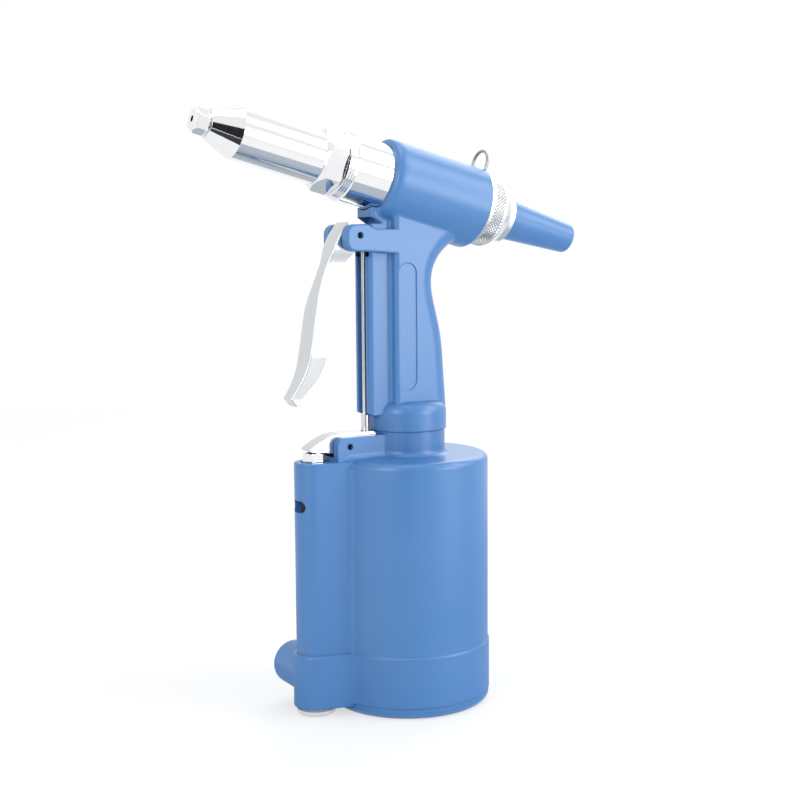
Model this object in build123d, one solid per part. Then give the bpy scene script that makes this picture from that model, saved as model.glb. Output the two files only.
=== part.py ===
from build123d import *
import math
import os

os.makedirs("parts", exist_ok=True)

# A hand-held pneumatic riveter: an air cylinder stands upright, its piston rod
# drives oil up through the grip, and the oil pulls the draw rod back in a tilted
# barrel. The nose points along +X, +Z is up, and the origin is the middle of the
# base of the cylinder. All lengths are in millimetres and all angles in degrees.

# Fits shared by all pieces
RUN = 0.05            # radial clearance of a shaft that runs or seats in a hole
SEAT = 0.1            # gap between two faces that seat on each other
FREE = 0.3            # gap between curved faces that only pass each other

# Base cap
CAP_H = 6.0
CAP_EDGE = 4.0
CAP_STEP = 0.4        # how far the cap stands out past the cylinder wall
CAP_SPIGOT_H = 4.0
CAP_POCKET_R = 12.0
CAP_FLOOR = 3.0
RING_W = 1.9          # section of the rings in the air cylinder

# Air piston and its nut
STROKE = 94.0
STROKE_SPARE = 1.2    # free height left above the piston at the end of its stroke
PISTON_GAP = 4.5      # free height below the piston at rest
PISTON_H = 12.0
PISTON_WEB = 6.0
PISTON_PLAY = 0.3
PISTON_DISH_R = 23.0
ROD_R = 5.0
ROD_STUD_R = 3.5
ROD_STUD_OUT = 6.8
NUT_ACROSS = 13.0
NUT_H = 5.0
WASHER_R = 8.5
WASHER_H = 1.0
PISTON_Z = CAP_H + CAP_SPIGOT_H + PISTON_GAP

# Air cylinder casting
CYL_R = 42.0
CYL_WALL = 3.0
CYL_ROOF = 8.0
CYL_EDGE = 3.5
BAND_H = 26.0         # the foot of the casting is a little thicker up to here
BAND_STEP = 0.7
NECK_R = 19.7
NECK_H = 12.7
NECK_ROOT = 3.0
CYL_BORE_R = CYL_R - CYL_WALL
ROOF_Z = PISTON_Z + PISTON_H + STROKE + STROKE_SPARE
CYL_TOP_Z = ROOF_Z + CYL_ROOF
BAND_TOP_Z = CAP_H + BAND_H
NECK_TOP_Z = CYL_TOP_Z + NECK_H

# Spigot of the handle through the neck, its ring nut and the gland
SPIGOT_R = 13.0
RING_NUT_H = 6.6
RING_NUT_ACROSS = 36.0
OIL_R = 6.0
GLAND_R = 9.0
GLAND_H = 16.0
GLAND_SEAL_H = 4.5
GLAND_INSET = 1.0
ROD_LEAD = 13.4       # the rod stands this far above its seal at rest
SPIGOT_LOW_Z = ROOF_Z - RING_NUT_H
GLAND_LOW_Z = SPIGOT_LOW_Z + GLAND_INSET
GLAND_TOP_Z = GLAND_LOW_Z + GLAND_H + GLAND_SEAL_H
ROD_TOP_Z = GLAND_TOP_Z + ROD_LEAD

# Steel head cylinder in the barrel; stations are measured along the barrel's
# axis from the point above the origin
HEAD_R = 17.3
HEAD_WALL = 3.3
HEAD_CHAMFER = 0.5
HEAD_OUT_L = 20.9     # length that shows in front of the barrel
HEAD_STEP = 0.9       # how far its front ring stands in
HEAD_STEP_L = 4.0
HEAD_THREAD_R = 11.4
HEAD_SEAL_R = 9.8
HEAD_GALLERY_DEPTH = 1.2
HEAD_GALLERY_BACK = 11.0
HEAD_PORT_R = 1.2
HEAD_RING_W = 2.0
HEAD_RING_GAP = 3.2   # from the gallery to the middle of each sealing ring
HEAD_LINES = (1.1, 2.5)   # lines turned in its front ring, from its shoulder
LINE_DEPTH = 0.4
LINE_W = 0.6
FRONT_SEAL_IN = 5.0
FRONT_SEAL_L = 4.0
GUIDE_L = 10.6
HEAD_BORE_R = HEAD_R - HEAD_WALL
HEAD_STEP_R = HEAD_R - HEAD_STEP
HEAD_GALLERY_R = HEAD_R - HEAD_GALLERY_DEPTH

# Barrel of the handle casting, tilted nose up
BARREL_TILT = 14.5
BARREL_FRONT = 16.7
BARREL_WALL = 3.9
BARREL_DRAFT = 0.2    # how much wider the barrel is at its rear
BARREL_LIP_L = 5.4    # its front edge is rounded over this length
BARREL_LIP_FLAT = 0.8
BARREL_EDGE = 0.5
OIL_SPARE = 4.0       # oil left above the rod at the end of its stroke
BARREL_FRONT_R = HEAD_R + BARREL_WALL
BARREL_REAR_R = BARREL_FRONT_R + BARREL_DRAFT
BARREL_Z = ROD_TOP_Z + STROKE + OIL_SPARE + (HEAD_R + RUN) / math.cos(math.radians(BARREL_TILT))

# Handle casting: the collar, the grip and the ribs on its front
COLLAR_STEP = 0.8     # how far the collar stands out past the neck
COLLAR_H = 15.1
COLLAR_ROUND = 6.0
GRIP_HALF_W = 13.0
GRIP_BACK_LOW = [(-20.0, 9.6), (-18.6, 29.6), (-16.6, 49.6)]
GRIP_BACK_TOP = [(-12.8, 57.9), (-11.4, 48.4), (-13.6, 38.9), (-19.4, 31.7), (-27.0, 26.9)]
GRIP_BACK_ROUND = 9.5
GRIP_FRONT_ROUND = 2.5
GRIP_SEAM_ROUND = 2.4
BLEND_ROUND = 2.0
PULL_R = 2.2          # of the thick lower end of the pull rod
PULL_SHAFT_R = 1.3
PULL_GAP = 1.8        # free space between the collar and the pull rod
RIB_PAST = 1.5        # how far the rib reaches past the middle of the pull rod
RIB_L = 12.5
RIB_HALF_W = 8.0
RIB_FOOT_H = 8.6
RIB_ROUND = 2.5
CHANNEL_HALF_W = 4.2
CHANNEL_DEPTH = 7.5
PANEL_DEPTH = 0.5
PANEL_INSET = 7.0
PANEL_LOW_H = 21.0
PANEL_TOP_DROP = 38.2
PANEL_HALF_W = 5.2
COLLAR_R = NECK_R + COLLAR_STEP
COLLAR_TOP_Z = NECK_TOP_Z + COLLAR_H
PULL_X = COLLAR_R + PULL_GAP + PULL_R
RIB_FRONT_X = PULL_X + RIB_PAST
GRIP_FRONT_X = RIB_FRONT_X - RIB_L
RIB_FOOT_Z = NECK_TOP_Z + RIB_FOOT_H

# Trigger and the ears that carry it; its outline is measured from its pin
LINK_ARM = 8.8        # from the trigger pin back to the link pin
PIN_DROP = 24.5       # from the barrel axis down to the trigger pin
TRIGGER_PIN_R = 1.55
PIN_SINK = 2.4        # the pins end this far inside the faces of their ears
TRIGGER_HALF_W = 6.5  # at the pin
TRIGGER_WALL = 1.5
TRIGGER_BEND = 0.8    # radius of the bends at its front
TRIGGER_WIDTHS = [    # half the width of the trigger, by height
    (6.5, 9.0),
    (6.5, -7.0),
    (4.4, -13.0),
    (4.4, -22.0),
    (7.0, -36.0),
    (7.0, -59.0),
    (4.5, -80.0),
    (4.3, -90.0),
]
TRIGGER_FLOW = 14.0   # radius that runs these widths into each other
TRIGGER_FRONT = [
    (3.3, 6.6),
    (8.8, -1.0),
    (13.1, -11.4),
    (18.8, -26.4),
    (22.5, -41.4),
    (24.7, -55.4),
    (27.5, -66.4),
    (31.5, -74.4),
    (35.3, -79.8),
]
TRIGGER_TOE = (32.1, -83.6)
TRIGGER_BACK = [
    (27.9, -78.0),
    (22.1, -71.6),
    (17.7, -63.6),
    (15.1, -53.4),
    (12.7, -40.4),
    (9.1, -26.4),
    (4.7, -13.4),
]
TRIGGER_HEEL = [
    (-2.3, -6.0),
    (-12.5, -3.8),
    (-12.5, 4.0),
    (-11.3, 4.8),
]
EAR_PLAY = 0.5        # gap between the trigger and each ear
EAR_REACH = 7.3       # from the trigger pin to the front of the ears
EAR_UP = 5.6
EAR_DOWN = 7.9
EAR_ROOT_UP = 2.9     # where the ears leave the grip
EAR_ROOT_DOWN = 9.6
EAR_ROUND = 5.0
EAR_EDGE = 1.0
POCKET_BACK = 7.0     # from the pull rod back to the wall of the pocket
POCKET_UP = 9.1
POCKET_DOWN = 10.4
HOOD_UP = 5.8         # from the trigger pin up to the foot of the hood
HOOD_LOW_IN = 6.0     # the hood's face stands this far behind the rib's at its foot
HOOD_TOP_IN = 1.6     # and this far below the barrel
TRIGGER_PIN_X = PULL_X + LINK_ARM
TRIGGER_PIN_Z = BARREL_Z - PIN_DROP
EAR_IN_Y = TRIGGER_HALF_W + EAR_PLAY
EAR_OUT_Y = GRIP_HALF_W
HOOD_LOW_Z = TRIGGER_PIN_Z + HOOD_UP

# Pull rod, from the trigger down to the valve lever
LINK_PIN_R = 1.2
LINK_PLAY = 0.1
LINK_SLOT = 0.5       # the eye of the rod is this much longer than the pin
EYE_R = 2.6
EYE_HALF_W = 1.6
EYE_NECK = 5.4        # from the link pin down to where the rod is round
PULL_NUT_R = 3.2
PULL_NUT_H = 4.6
PULL_NUT_CROWN = 1.4
PULL_END = 1.1        # the rod ends this far below its nut
PULL_SHOULDER = 0.8   # its thick end reaches this far into the rib's channel
NUT_PLAY = 0.2

# Valve block beside the cylinder
VALVE_OUT = 12.5      # from the cylinder wall out to the middle of the valve
VALVE_DROP = 0.4      # how far the block stands below the top of the cylinder
VALVE_TUBE_R = 9.7
VALVE_FOOT_STEP = 1.7
VALVE_FOOT_Z = 4.6
VALVE_ROOT_HALF_W = 13.0
VALVE_ROOT_IN = 3.5
VALVE_ROOT_L = 20.0
VALVE_EDGE = 0.8
VALVE_ROOT = 5.0      # fillet between the block and the cylinder
VALVE_BORE_R = 6.0
VALVE_X = CYL_R + VALVE_OUT
VALVE_TOP_Z = CYL_TOP_Z - VALVE_DROP
VALVE_FOOT_R = VALVE_TUBE_R + VALVE_FOOT_STEP

# Bracket on the cylinder and the rocking lever that it carries; the heights of
# the lever's outline are measured from its pin
LEVER_ARM = 13.9      # from the pull rod to the lever pin
LEVER_UP = 6.7        # from the top of the cylinder to the lever pin
LEVER_PIN_R = 1.55
LEVER_HALF_W = 4.7
LEVER_WALL = 1.3
LEVER_PLAY = 0.3
LEVER_CROWN = 6.4     # height of the lever's flat top over its pin
LEVER_PRESS = 2.5     # drop of the edge that presses the button below the pin
LEVER_DEEP = 3.4      # depth of the lever's cheeks below the pin
BRACKET_UP = 4.8
BRACKET_REACH = 7.0
BRACKET_EAR_T = 4.5
BRACKET_ROUND = 4.0
BRACKET_ROOT = 3.0
BRACKET_STEP = 1.2    # height of the floor between the ears over the cylinder
FORK_PLAY = 0.2
FORK_DEPTH = 2.5      # the fork ends this far in front of the pull rod
LEVER_PIN_X = PULL_X + LEVER_ARM
LEVER_PIN_Z = CYL_TOP_Z + LEVER_UP
LEVER_TOP = [
    (PULL_X - 3.6, LEVER_PIN_Z + LEVER_CROWN - 1.4),
    (PULL_X - 2.1, LEVER_PIN_Z + LEVER_CROWN),
    (LEVER_PIN_X + 3.0, LEVER_PIN_Z + LEVER_CROWN),
    (VALVE_X - 8.0, LEVER_PIN_Z + LEVER_CROWN - 0.7),
    (VALVE_X - 5.0, LEVER_PIN_Z + LEVER_CROWN - 1.8),
    (VALVE_X - 1.5, LEVER_PIN_Z + LEVER_CROWN - 3.5),
    (VALVE_X + 2.0, LEVER_PIN_Z + LEVER_CROWN - 5.4),
    (VALVE_X + 3.9, LEVER_PIN_Z + LEVER_CROWN - 6.7),
]
LEVER_LOW = [
    (VALVE_X + 3.7, LEVER_PIN_Z - LEVER_PRESS + 0.9),
    (VALVE_X, LEVER_PIN_Z - LEVER_PRESS),
    (VALVE_X - 4.5, LEVER_PIN_Z - LEVER_PRESS),
    (LEVER_PIN_X + 6.6, LEVER_PIN_Z - LEVER_DEEP),
    (LEVER_PIN_X - 2.4, LEVER_PIN_Z - LEVER_DEEP),
    (PULL_X + 6.5, LEVER_PIN_Z + 0.6),
    (PULL_X - 3.6, LEVER_PIN_Z + 1.4),
]
BRACKET_SLOT = LEVER_HALF_W + LEVER_PLAY
BRACKET_HALF_W = BRACKET_SLOT + BRACKET_EAR_T
BRACKET_TIP_X = LEVER_PIN_X + BRACKET_REACH
BRACKET_TOP_Z = LEVER_PIN_Z + BRACKET_UP
BRACKET_FLOOR_Z = CYL_TOP_Z + BRACKET_STEP

# Air inlet on the far side of the valve block
INLET_UP = 15.4       # from the foot of the block to the middle of the inlet
INLET_R = 11.4
INLET_L = 27.0
INLET_EDGE = 1.5
INLET_BUSH_R = 9.0
INLET_BUSH_L = 13.0
INLET_BUSH_OUT = 1.0
INLET_THREAD_R = 5.9
INLET_PASSAGE_R = 4.0
INLET_Z = VALVE_FOOT_Z + INLET_UP

# Pieces in the valve bore
BUTTON_ACROSS = 10.2
BUTTON_H = 5.6
BUTTON_EDGE = 0.8
BUTTON_TRAVEL = 3.1
BUTTON_WELL_PLAY = 0.7
SLEEVE_R = 4.0
STEM_R = 2.6
STEM_LAND_H = 6.0
STEM_RING_W = 1.4
STEM_FOOT_H = 2.0
STEM_LAND_IN = 4.0    # from each end of the sleeve to the outer lands
STEM_PORT_DROP = 9.0  # from the middle of the sleeve down to the middle land
SPRING_L = 12.2
SPRING_SEAT_WIRE = 1.2
SPRING_SEAT_TURNS = 4
SLOT_DROP = 21.9      # from the top of the block down to the exhaust slot
SLOT_H = 6.0
SLOT_W = 12.0
SILENCER_H = 14.0
SILENCER_WALL = 1.4
SLEEVE_CROSS_R = 1.5
PLUG_R = 10.0
PLUG_FOOT_Z = 0.3
PLUG_EDGE = 1.0
PLUG_STUD_R = 7.6
PLUG_STUD_H = 5.2
PLUG_KEY_ACROSS = 8.0
PORT_R = 2.0
BUTTON_TOP_Z = LEVER_PIN_Z - LEVER_PRESS - SEAT
BUTTON_WELL_R = BUTTON_ACROSS / math.sqrt(3) + BUTTON_WELL_PLAY
STEM_LOW_Z = VALVE_FOOT_Z + PLUG_STUD_H + SPRING_L
SLOT_Z = VALVE_TOP_Z - SLOT_DROP
SLEEVE_LOW_Z = INLET_Z + INLET_PASSAGE_R + 1.5
SLEEVE_TOP_Z = SLOT_Z - SILENCER_H / 2 - 4.4
STEM_LANDS = [
    SLEEVE_LOW_Z + STEM_LAND_IN,
    (SLEEVE_LOW_Z + SLEEVE_TOP_Z) / 2 - STEM_PORT_DROP,
    SLEEVE_TOP_Z - STEM_LAND_H - STEM_LAND_IN,
]
PORT_Z = CAP_H + CAP_SPIGOT_H + PORT_R + 0.4

# Draw rod with its piston
DRAW_TRAVEL = 16.0
DRAW_PISTON_L = 10.0
DRAW_CHAMBER = 6.0    # oil space in front of the piston at rest
DRAW_CHAMBER_END = 12.0
DRAW_FRONT_R = 7.0
DRAW_TAIL_R = 5.0
DRAW_TAIL_IN = 1.2    # the tail ends this far inside the rear cap's wall
DRAW_BORE_R = 2.2
DRAW_STUD_R = 6.0
DRAW_STUD_L = 10.0
DRAW_NECK_L = 2.0
DRAW_POCKET_R = 4.6
DRAW_POCKET_L = 14.0
DRAW_SEAL_W = 3.0
DRAW_SEAL_DEPTH = 2.2
SPRING_WIRE = 2.2
SPRING_TURNS = 6
SPRING_BLOCK = 20.2   # length of the return spring at the end of the stroke
DRAW_FACE = DRAW_CHAMBER_END - DRAW_CHAMBER
DRAW_BACK = DRAW_FACE - DRAW_PISTON_L

# Stations of the head cylinder and the rear of the barrel
CAP_THREAD_L = 4.2
CAP_WALL_IN = 4.2
CAP_WALL_L = 10.0
CAP_WALL_FRONT = DRAW_BACK - DRAW_TRAVEL - SPRING_BLOCK
CAP_WALL_REAR = CAP_WALL_FRONT - CAP_WALL_L
DRAW_TAIL_END = CAP_WALL_REAR + DRAW_TAIL_IN
HEAD_REAR = CAP_WALL_FRONT + CAP_WALL_IN
BARREL_REAR = HEAD_REAR - CAP_THREAD_L
HEAD_SHOULDER = BARREL_FRONT + HEAD_OUT_L
HEAD_STEP_END = HEAD_SHOULDER + HEAD_STEP_L
HEAD_PORT = DRAW_CHAMBER_END - HEAD_PORT_R - 1.6
HEAD_GALLERY = (-HEAD_GALLERY_BACK, HEAD_PORT + HEAD_PORT_R)
HEAD_RINGS = (HEAD_GALLERY[0] - HEAD_RING_GAP, HEAD_GALLERY[1] + HEAD_RING_GAP)
SEAL_START = DRAW_CHAMBER_END + FRONT_SEAL_IN
SEAL_END = SEAL_START + FRONT_SEAL_L
GUIDE_END = SEAL_END + GUIDE_L

# Nose sleeve, its nut and the nosepiece
HEX_NUT_ACROSS = 27.6
HEX_NUT_TURN = 20.5
HEX_NUT_L = 11.4
HEX_NUT_CHAMFER = 1.3
NOSE_R = 13.1
NOSE_TAIL_GAP = 0.8
NOSE_L = 43.9
NOSE_CONE_L = 14.1
NOSE_END_R = 7.3
NOSE_THROAT_L = 8.2
NOSE_CONE_IN = 0.5
TIP_THREAD_R = 4.8
TIP_ACROSS = 11.0
TIP_TURN = 19.0
TIP_SEAT_L = 0.6
TIP_L = 7.5
TIP_CHAMFER = 2.2
TIP_FACE_R = 4.9
TIP_BORE_R = 1.6
HEX_NUT_REAR = HEAD_STEP_END + SEAT
HEX_NUT_FRONT = HEX_NUT_REAR + HEX_NUT_L
NOSE_SHOULDER = HEX_NUT_FRONT + SEAT
NOSE_CONE = NOSE_SHOULDER + NOSE_L
NOSE_END = NOSE_CONE + NOSE_CONE_L
NOSE_THROAT = NOSE_END - NOSE_THROAT_L
NOSE_BORE_END = NOSE_CONE - NOSE_CONE_IN
NOSE_TAIL = GUIDE_END + NOSE_TAIL_GAP
TIP_END = NOSE_END + SEAT + TIP_L

# Jaw case, jaws and their pusher
CASE_R = 9.5
CASE_L = 35.5
CASE_NOSE_GAP = 1.1
CASE_CONE_L = 11.0
CASE_BORE_R = 7.2
CASE_MOUTH_R = 4.4
JAW_COUNT = 3
JAW_L = 10.5
JAW_OUT = 1.5         # the jaws stand this far out of their case at rest
JAW_BORE_R = 1.2      # of the jaws when they have closed
JAW_SPLIT = 0.9
JAW_HOLLOW = 3.5
JAW_HOLLOW_R = 4.2
JAW_SLIDE = 1.8       # how far the jaws slide forward in their case as they close
PUSHER_R = 5.8
PUSHER_CONE_L = 4.0
PUSHER_TIP_WALL = 1.0
PUSHER_REST_GAP = 0.4   # between the pusher and the end of the draw rod at rest
PUSHER_STEM_L = 4.4
PUSHER_PLAY = 0.3
PUSHER_BORE_R = 1.9
JAW_SPRING_WIRE = 0.9
JAW_SPRING_TURNS = 5
TIP_GAP = 0.4
CASE_FRONT = NOSE_BORE_END - CASE_NOSE_GAP
CASE_REAR = CASE_FRONT - CASE_L
CASE_CONE_START = CASE_FRONT - CASE_CONE_L
CASE_SLOPE = (CASE_BORE_R - CASE_MOUTH_R) / CASE_CONE_L
JAW_SPREAD = JAW_SLIDE * CASE_SLOPE
JAW_FRONT = CASE_FRONT + JAW_OUT
JAW_REAR = JAW_FRONT - JAW_L
TIP_REAR = JAW_FRONT + TIP_GAP
DRAW_NECK = CASE_REAR - DRAW_NECK_L
DRAW_END = CASE_REAR + DRAW_STUD_L
DRAW_POCKET = DRAW_END - DRAW_POCKET_L
PUSHER_CONE = JAW_REAR - PUSHER_CONE_L
PUSHER_SHOULDER = DRAW_END + PUSHER_REST_GAP
PUSHER_REAR = PUSHER_SHOULDER - PUSHER_STEM_L

# Rear cap, hanger and mandrel catcher
WIRE_R = 0.8
HANGER_LOOP_R = 6.6
HANGER_LEG = 2.5      # height of the middle of the loop over the barrel
REAR_CAP_STEP = 0.1   # how far its grip band stands out past its thread
REAR_CAP_RIM = 0.7
REAR_CAP_RIM_L = 2.0
REAR_CAP_GRIP_L = 8.4
REAR_CAP_TAPER_L = 5.1
REAR_CAP_NECK_R = 13.2
REAR_CAP_NECK_L = 4.2
CATCHER_SPIGOT_R = 8.5
CATCHER_SPIGOT_L = 9.7
CATCHER_STEP = 2.3
CATCHER_L = 43.5
CATCHER_END_R = 8.0
CATCHER_ROUND = 1.8
CATCHER_BORE_R = 6.6
CATCHER_WALL = 2.0
CATCHER_RING_IN = 6.6
CATCHER_RING_W = 1.6
REAR_CAP_R = HEAD_R + REAR_CAP_STEP
REAR_CAP_SPRING_R = HEAD_BORE_R - SEAT
CAP_FACE = BARREL_REAR - 2 * (WIRE_R + SEAT)
CAP_RIM_END = CAP_FACE - REAR_CAP_RIM_L
CAP_GRIP_END = CAP_RIM_END - REAR_CAP_GRIP_L
CAP_TAPER_END = CAP_GRIP_END - REAR_CAP_TAPER_L
CAP_END = CAP_TAPER_END - REAR_CAP_NECK_L
CATCHER_SHOULDER = CAP_END - 4 * SEAT
CATCHER_FRONT = CATCHER_SHOULDER + CATCHER_SPIGOT_L
CATCHER_END = CATCHER_SHOULDER - CATCHER_L
CATCHER_RING = CATCHER_FRONT - CATCHER_RING_IN

# Oil screw on the far side of the grip, below the barrel
OIL_SCREW_X = 0.0
OIL_SCREW_DROP = 29.9
OIL_SCREW_R = 4.5
OIL_SCREW_H = 2.6
OIL_SCREW_EDGE = 0.5
OIL_STUD_R = 2.5
OIL_STUD_L = 6.0
OIL_KEY_ACROSS = 4.0
OIL_WASHER_R = 4.9
OIL_WASHER_H = 0.8
OIL_FACE_IN = 1.0     # depth of the spot face in the side of the grip
OIL_SCREW_Z = BARREL_Z - OIL_SCREW_DROP


def on_barrel(shape):
    """Place a shape that was made along X on the tilted barrel axis."""
    return Pos(0, 0, BARREL_Z) * Rot(0, -BARREL_TILT, 0) * shape


def turned(points):
    """Solid turned about X from an outline of (station, radius) points."""
    outline = Polyline(*[(a, 0, r) for a, r in points], close=True)
    return revolve(make_face(outline), Axis.X, 360)


def upright(points):
    """Solid turned about Z from an outline of (radius, height) points."""
    outline = Polyline(*[(r, 0, z) for r, z in points], close=True)
    return revolve(make_face(outline), Axis.Z, 360)


def tube(outer, inner, start, end):
    """Tube about X between two stations."""
    return turned([(start, inner), (start, outer), (end, outer), (end, inner)])


def ring(outer, inner, low, high):
    """Tube about Z between two heights."""
    return upright([(inner, low), (outer, low), (outer, high), (inner, high)])


def rod(radius, start, end):
    """Solid cylinder about X between two stations."""
    return turned([(start, 0), (start, radius), (end, radius), (end, 0)])


def post(radius, low, high, x=0.0):
    """Solid cylinder about a vertical line at x."""
    return Pos(x, 0, low) * Cylinder(radius, high - low, align=(Align.CENTER, Align.CENTER, Align.MIN))


def cross_pin(radius, half_length, x, z):
    """Solid cylinder along Y, centred on the middle plane."""
    return Pos(x, 0, z) * Rot(90, 0, 0) * Cylinder(radius, 2 * half_length)


def block(x0, x1, half_w, z0, z1):
    """Box from x0 to x1 and z0 to z1, centred on the middle plane."""
    size = Box(x1 - x0, 2 * half_w, z1 - z0)
    return Pos((x0 + x1) / 2, 0, (z0 + z1) / 2) * size


def side_plate(face, half_w):
    """Extrude a face of the XZ plane by half_w to each side."""
    return extrude(face, half_w, dir=(0, 1, 0), both=True)


def points_xz(points):
    """Points of a side view as points in space."""
    return [(x, 0, z) for x, z in points]


def hexagon(across, start, end, turn):
    """Hexagonal bar about X, with a corner turned up by this angle from +Y."""
    section = Plane.YZ.offset(start) * Rot(0, 0, turn) * RegularPolygon(across / math.sqrt(3), 6)
    return extrude(section, end - start)


def hex_post(across, low, high, x=0.0):
    """Hexagonal bar about a vertical line at x."""
    section = Plane.XY.offset(low) * Pos(x, 0) * RegularPolygon(across / math.sqrt(3), 6)
    return extrude(section, high - low)


def coil(radius, wire, start, end, turns):
    """Coil spring about X, between two stations that its wire reaches."""
    length = end - start - wire
    path = Helix(length / turns, length, radius, center=(0, 0, 0))
    section = Plane(origin=path @ 0, z_dir=path % 0) * Circle(wire / 2)
    spring = sweep(section, path=path)
    return Pos(start + wire / 2, 0, 0) * Rot(0, 90, 0) * spring


def valve_outline(nose_r, grow):
    """Plan of the valve block: a round nose that widens to the cylinder."""
    root_w = VALVE_ROOT_HALF_W + grow
    root = Pos(CYL_R - VALVE_ROOT_IN - VALVE_ROOT_L / 2, 0) * Rectangle(VALVE_ROOT_L, 2 * root_w)
    nose = Pos(VALVE_X, 0) * Circle(nose_r)
    return make_hull(root.edges() + nose.edges())


def with_bracket(body):
    """The cylinder with the two-eared bracket that reaches from its neck over the valve."""
    ears = block(0, BRACKET_TIP_X, BRACKET_HALF_W, BRACKET_FLOOR_Z - CYL_ROOF / 2, BRACKET_TOP_Z)
    front = ears.edges().filter_by(Axis.Y).sort_by(Axis.X)[-2:].sort_by(Axis.Z)[-1]
    body = body + fillet(front, BRACKET_ROUND)
    roots = [e for e in body.edges() if abs(e.center().Z - CYL_TOP_Z) < 0.3
             and abs(abs(e.center().Y) - BRACKET_HALF_W) < 0.1]
    return fillet(roots, BRACKET_ROOT)


def round_roots(block_part, wall_r, low, high):
    """A part of the valve block with fillets where it leaves the cylinder wall."""
    joined = block_part + post(wall_r, low, high)
    roots = [e for e in joined.edges().filter_by(Axis.Z) if e.center().X > CYL_R / 2
             and e.length > VALVE_ROOT and abs(math.hypot(e.center().X, e.center().Y) - wall_r) < 0.05]
    return fillet(roots, VALVE_ROOT)


def cylinder_body():
    """Outer form of the air cylinder with its foot band, roof and neck."""
    foot_r = CYL_R + BAND_STEP
    body = upright([
        (0, CAP_H),
        (foot_r, CAP_H),
        (foot_r, BAND_TOP_Z - BAND_STEP),
        (CYL_R, BAND_TOP_Z),
        (CYL_R, CYL_TOP_Z),
        (NECK_R, CYL_TOP_Z),
        (NECK_R, NECK_TOP_Z),
        (0, NECK_TOP_Z),
    ])
    rims = body.edges().filter_by(GeomType.CIRCLE)
    top = [e for e in rims if abs(e.center().Z - CYL_TOP_Z) < 0.01]
    top.sort(key=lambda e: e.radius)
    body = fillet(top[0], NECK_ROOT)
    rims = body.edges().filter_by(GeomType.CIRCLE)
    edge = [e for e in rims if abs(e.center().Z - CYL_TOP_Z) < 0.01 and abs(e.radius - CYL_R) < 0.01]
    return fillet(edge, CYL_EDGE)


def make_air_cylinder():
    """Casting of the air cylinder, valve block, lever bracket and inlet boss."""
    upper = extrude(Plane.XY.offset(BAND_TOP_Z - 1) * valve_outline(VALVE_TUBE_R, 0),
                    VALVE_TOP_Z - BAND_TOP_Z + 1)
    foot_grow = VALVE_FOOT_R - VALVE_TUBE_R
    foot = extrude(Plane.XY.offset(VALVE_FOOT_Z) * valve_outline(VALVE_FOOT_R, foot_grow),
                   BAND_TOP_Z - VALVE_FOOT_Z)
    foot = chamfer(foot.faces().sort_by(Axis.Z)[-1].edges(), foot_grow * 0.6)
    foot -= post(CYL_R + CAP_STEP + FREE, 0, CAP_H)
    foot = round_roots(foot, CYL_R + BAND_STEP, CAP_H, BAND_TOP_Z - 2 * BAND_STEP)
    top_rim = upper.faces().sort_by(Axis.Z)[-1].edges()
    upper = round_roots(fillet(top_rim, VALVE_EDGE), CYL_R, BAND_TOP_Z - 1, CYL_TOP_Z - CYL_EDGE)
    boss = Pos(VALVE_X, -INLET_L / 2, INLET_Z) * Rot(90, 0, 0) * Cylinder(INLET_R, INLET_L)
    boss = fillet(boss.faces().sort_by(Axis.Y)[0].edges(), INLET_EDGE)
    body = with_bracket(cylinder_body()) + upper + foot + boss
    bore = post(CYL_BORE_R, 0, ROOF_Z)
    neck_bore = post(SPIGOT_R + RUN, ROOF_Z - 1, NECK_TOP_Z + 1)
    lever_slot = block(NECK_R + FREE, BRACKET_TIP_X + 1, BRACKET_SLOT, BRACKET_FLOOR_Z, BRACKET_TOP_Z + 1)
    pin_hole = cross_pin(LEVER_PIN_R + RUN, BRACKET_HALF_W + 1, LEVER_PIN_X, LEVER_PIN_Z)
    body = body - bore - neck_bore - lever_slot - pin_hole
    well_low = BUTTON_TOP_Z - BUTTON_H - BUTTON_TRAVEL - FREE
    well = post(BUTTON_WELL_R, well_low, VALVE_TOP_Z + 1, VALVE_X)
    valve_bore = post(VALVE_BORE_R, VALVE_FOOT_Z, VALVE_TOP_Z, VALVE_X)
    stud_hole = post(PLUG_STUD_R + RUN, VALVE_FOOT_Z - 1, VALVE_FOOT_Z + PLUG_STUD_H + SEAT, VALVE_X)
    port = Pos(CYL_BORE_R - 2, 0, PORT_Z) * Rot(0, 90, 0) * Cylinder(
        PORT_R, VALVE_X - CYL_BORE_R, align=(Align.CENTER, Align.CENTER, Align.MIN))
    slot_profile = SlotOverall(SLOT_W, SLOT_H)
    slot = Plane.YZ.offset(VALVE_X) * slot_profile
    exhaust = Pos(0, 0, SLOT_Z) * extrude(slot, VALVE_TUBE_R + 2)
    inlet = Pos(VALVE_X, -INLET_L / 2, INLET_Z) * Rot(90, 0, 0) * Cylinder(INLET_PASSAGE_R, INLET_L + 2)
    bush_seat = -INLET_L + INLET_BUSH_L - INLET_BUSH_OUT + SEAT
    bush_hole = Pos(VALVE_X, bush_seat, INLET_Z) * Rot(90, 0, 0) * Cylinder(
        INLET_BUSH_R + RUN, INLET_BUSH_L + 4, align=(Align.CENTER, Align.CENTER, Align.MIN))
    return body - well - valve_bore - stud_hole - port - exhaust - inlet - bush_hole


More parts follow.
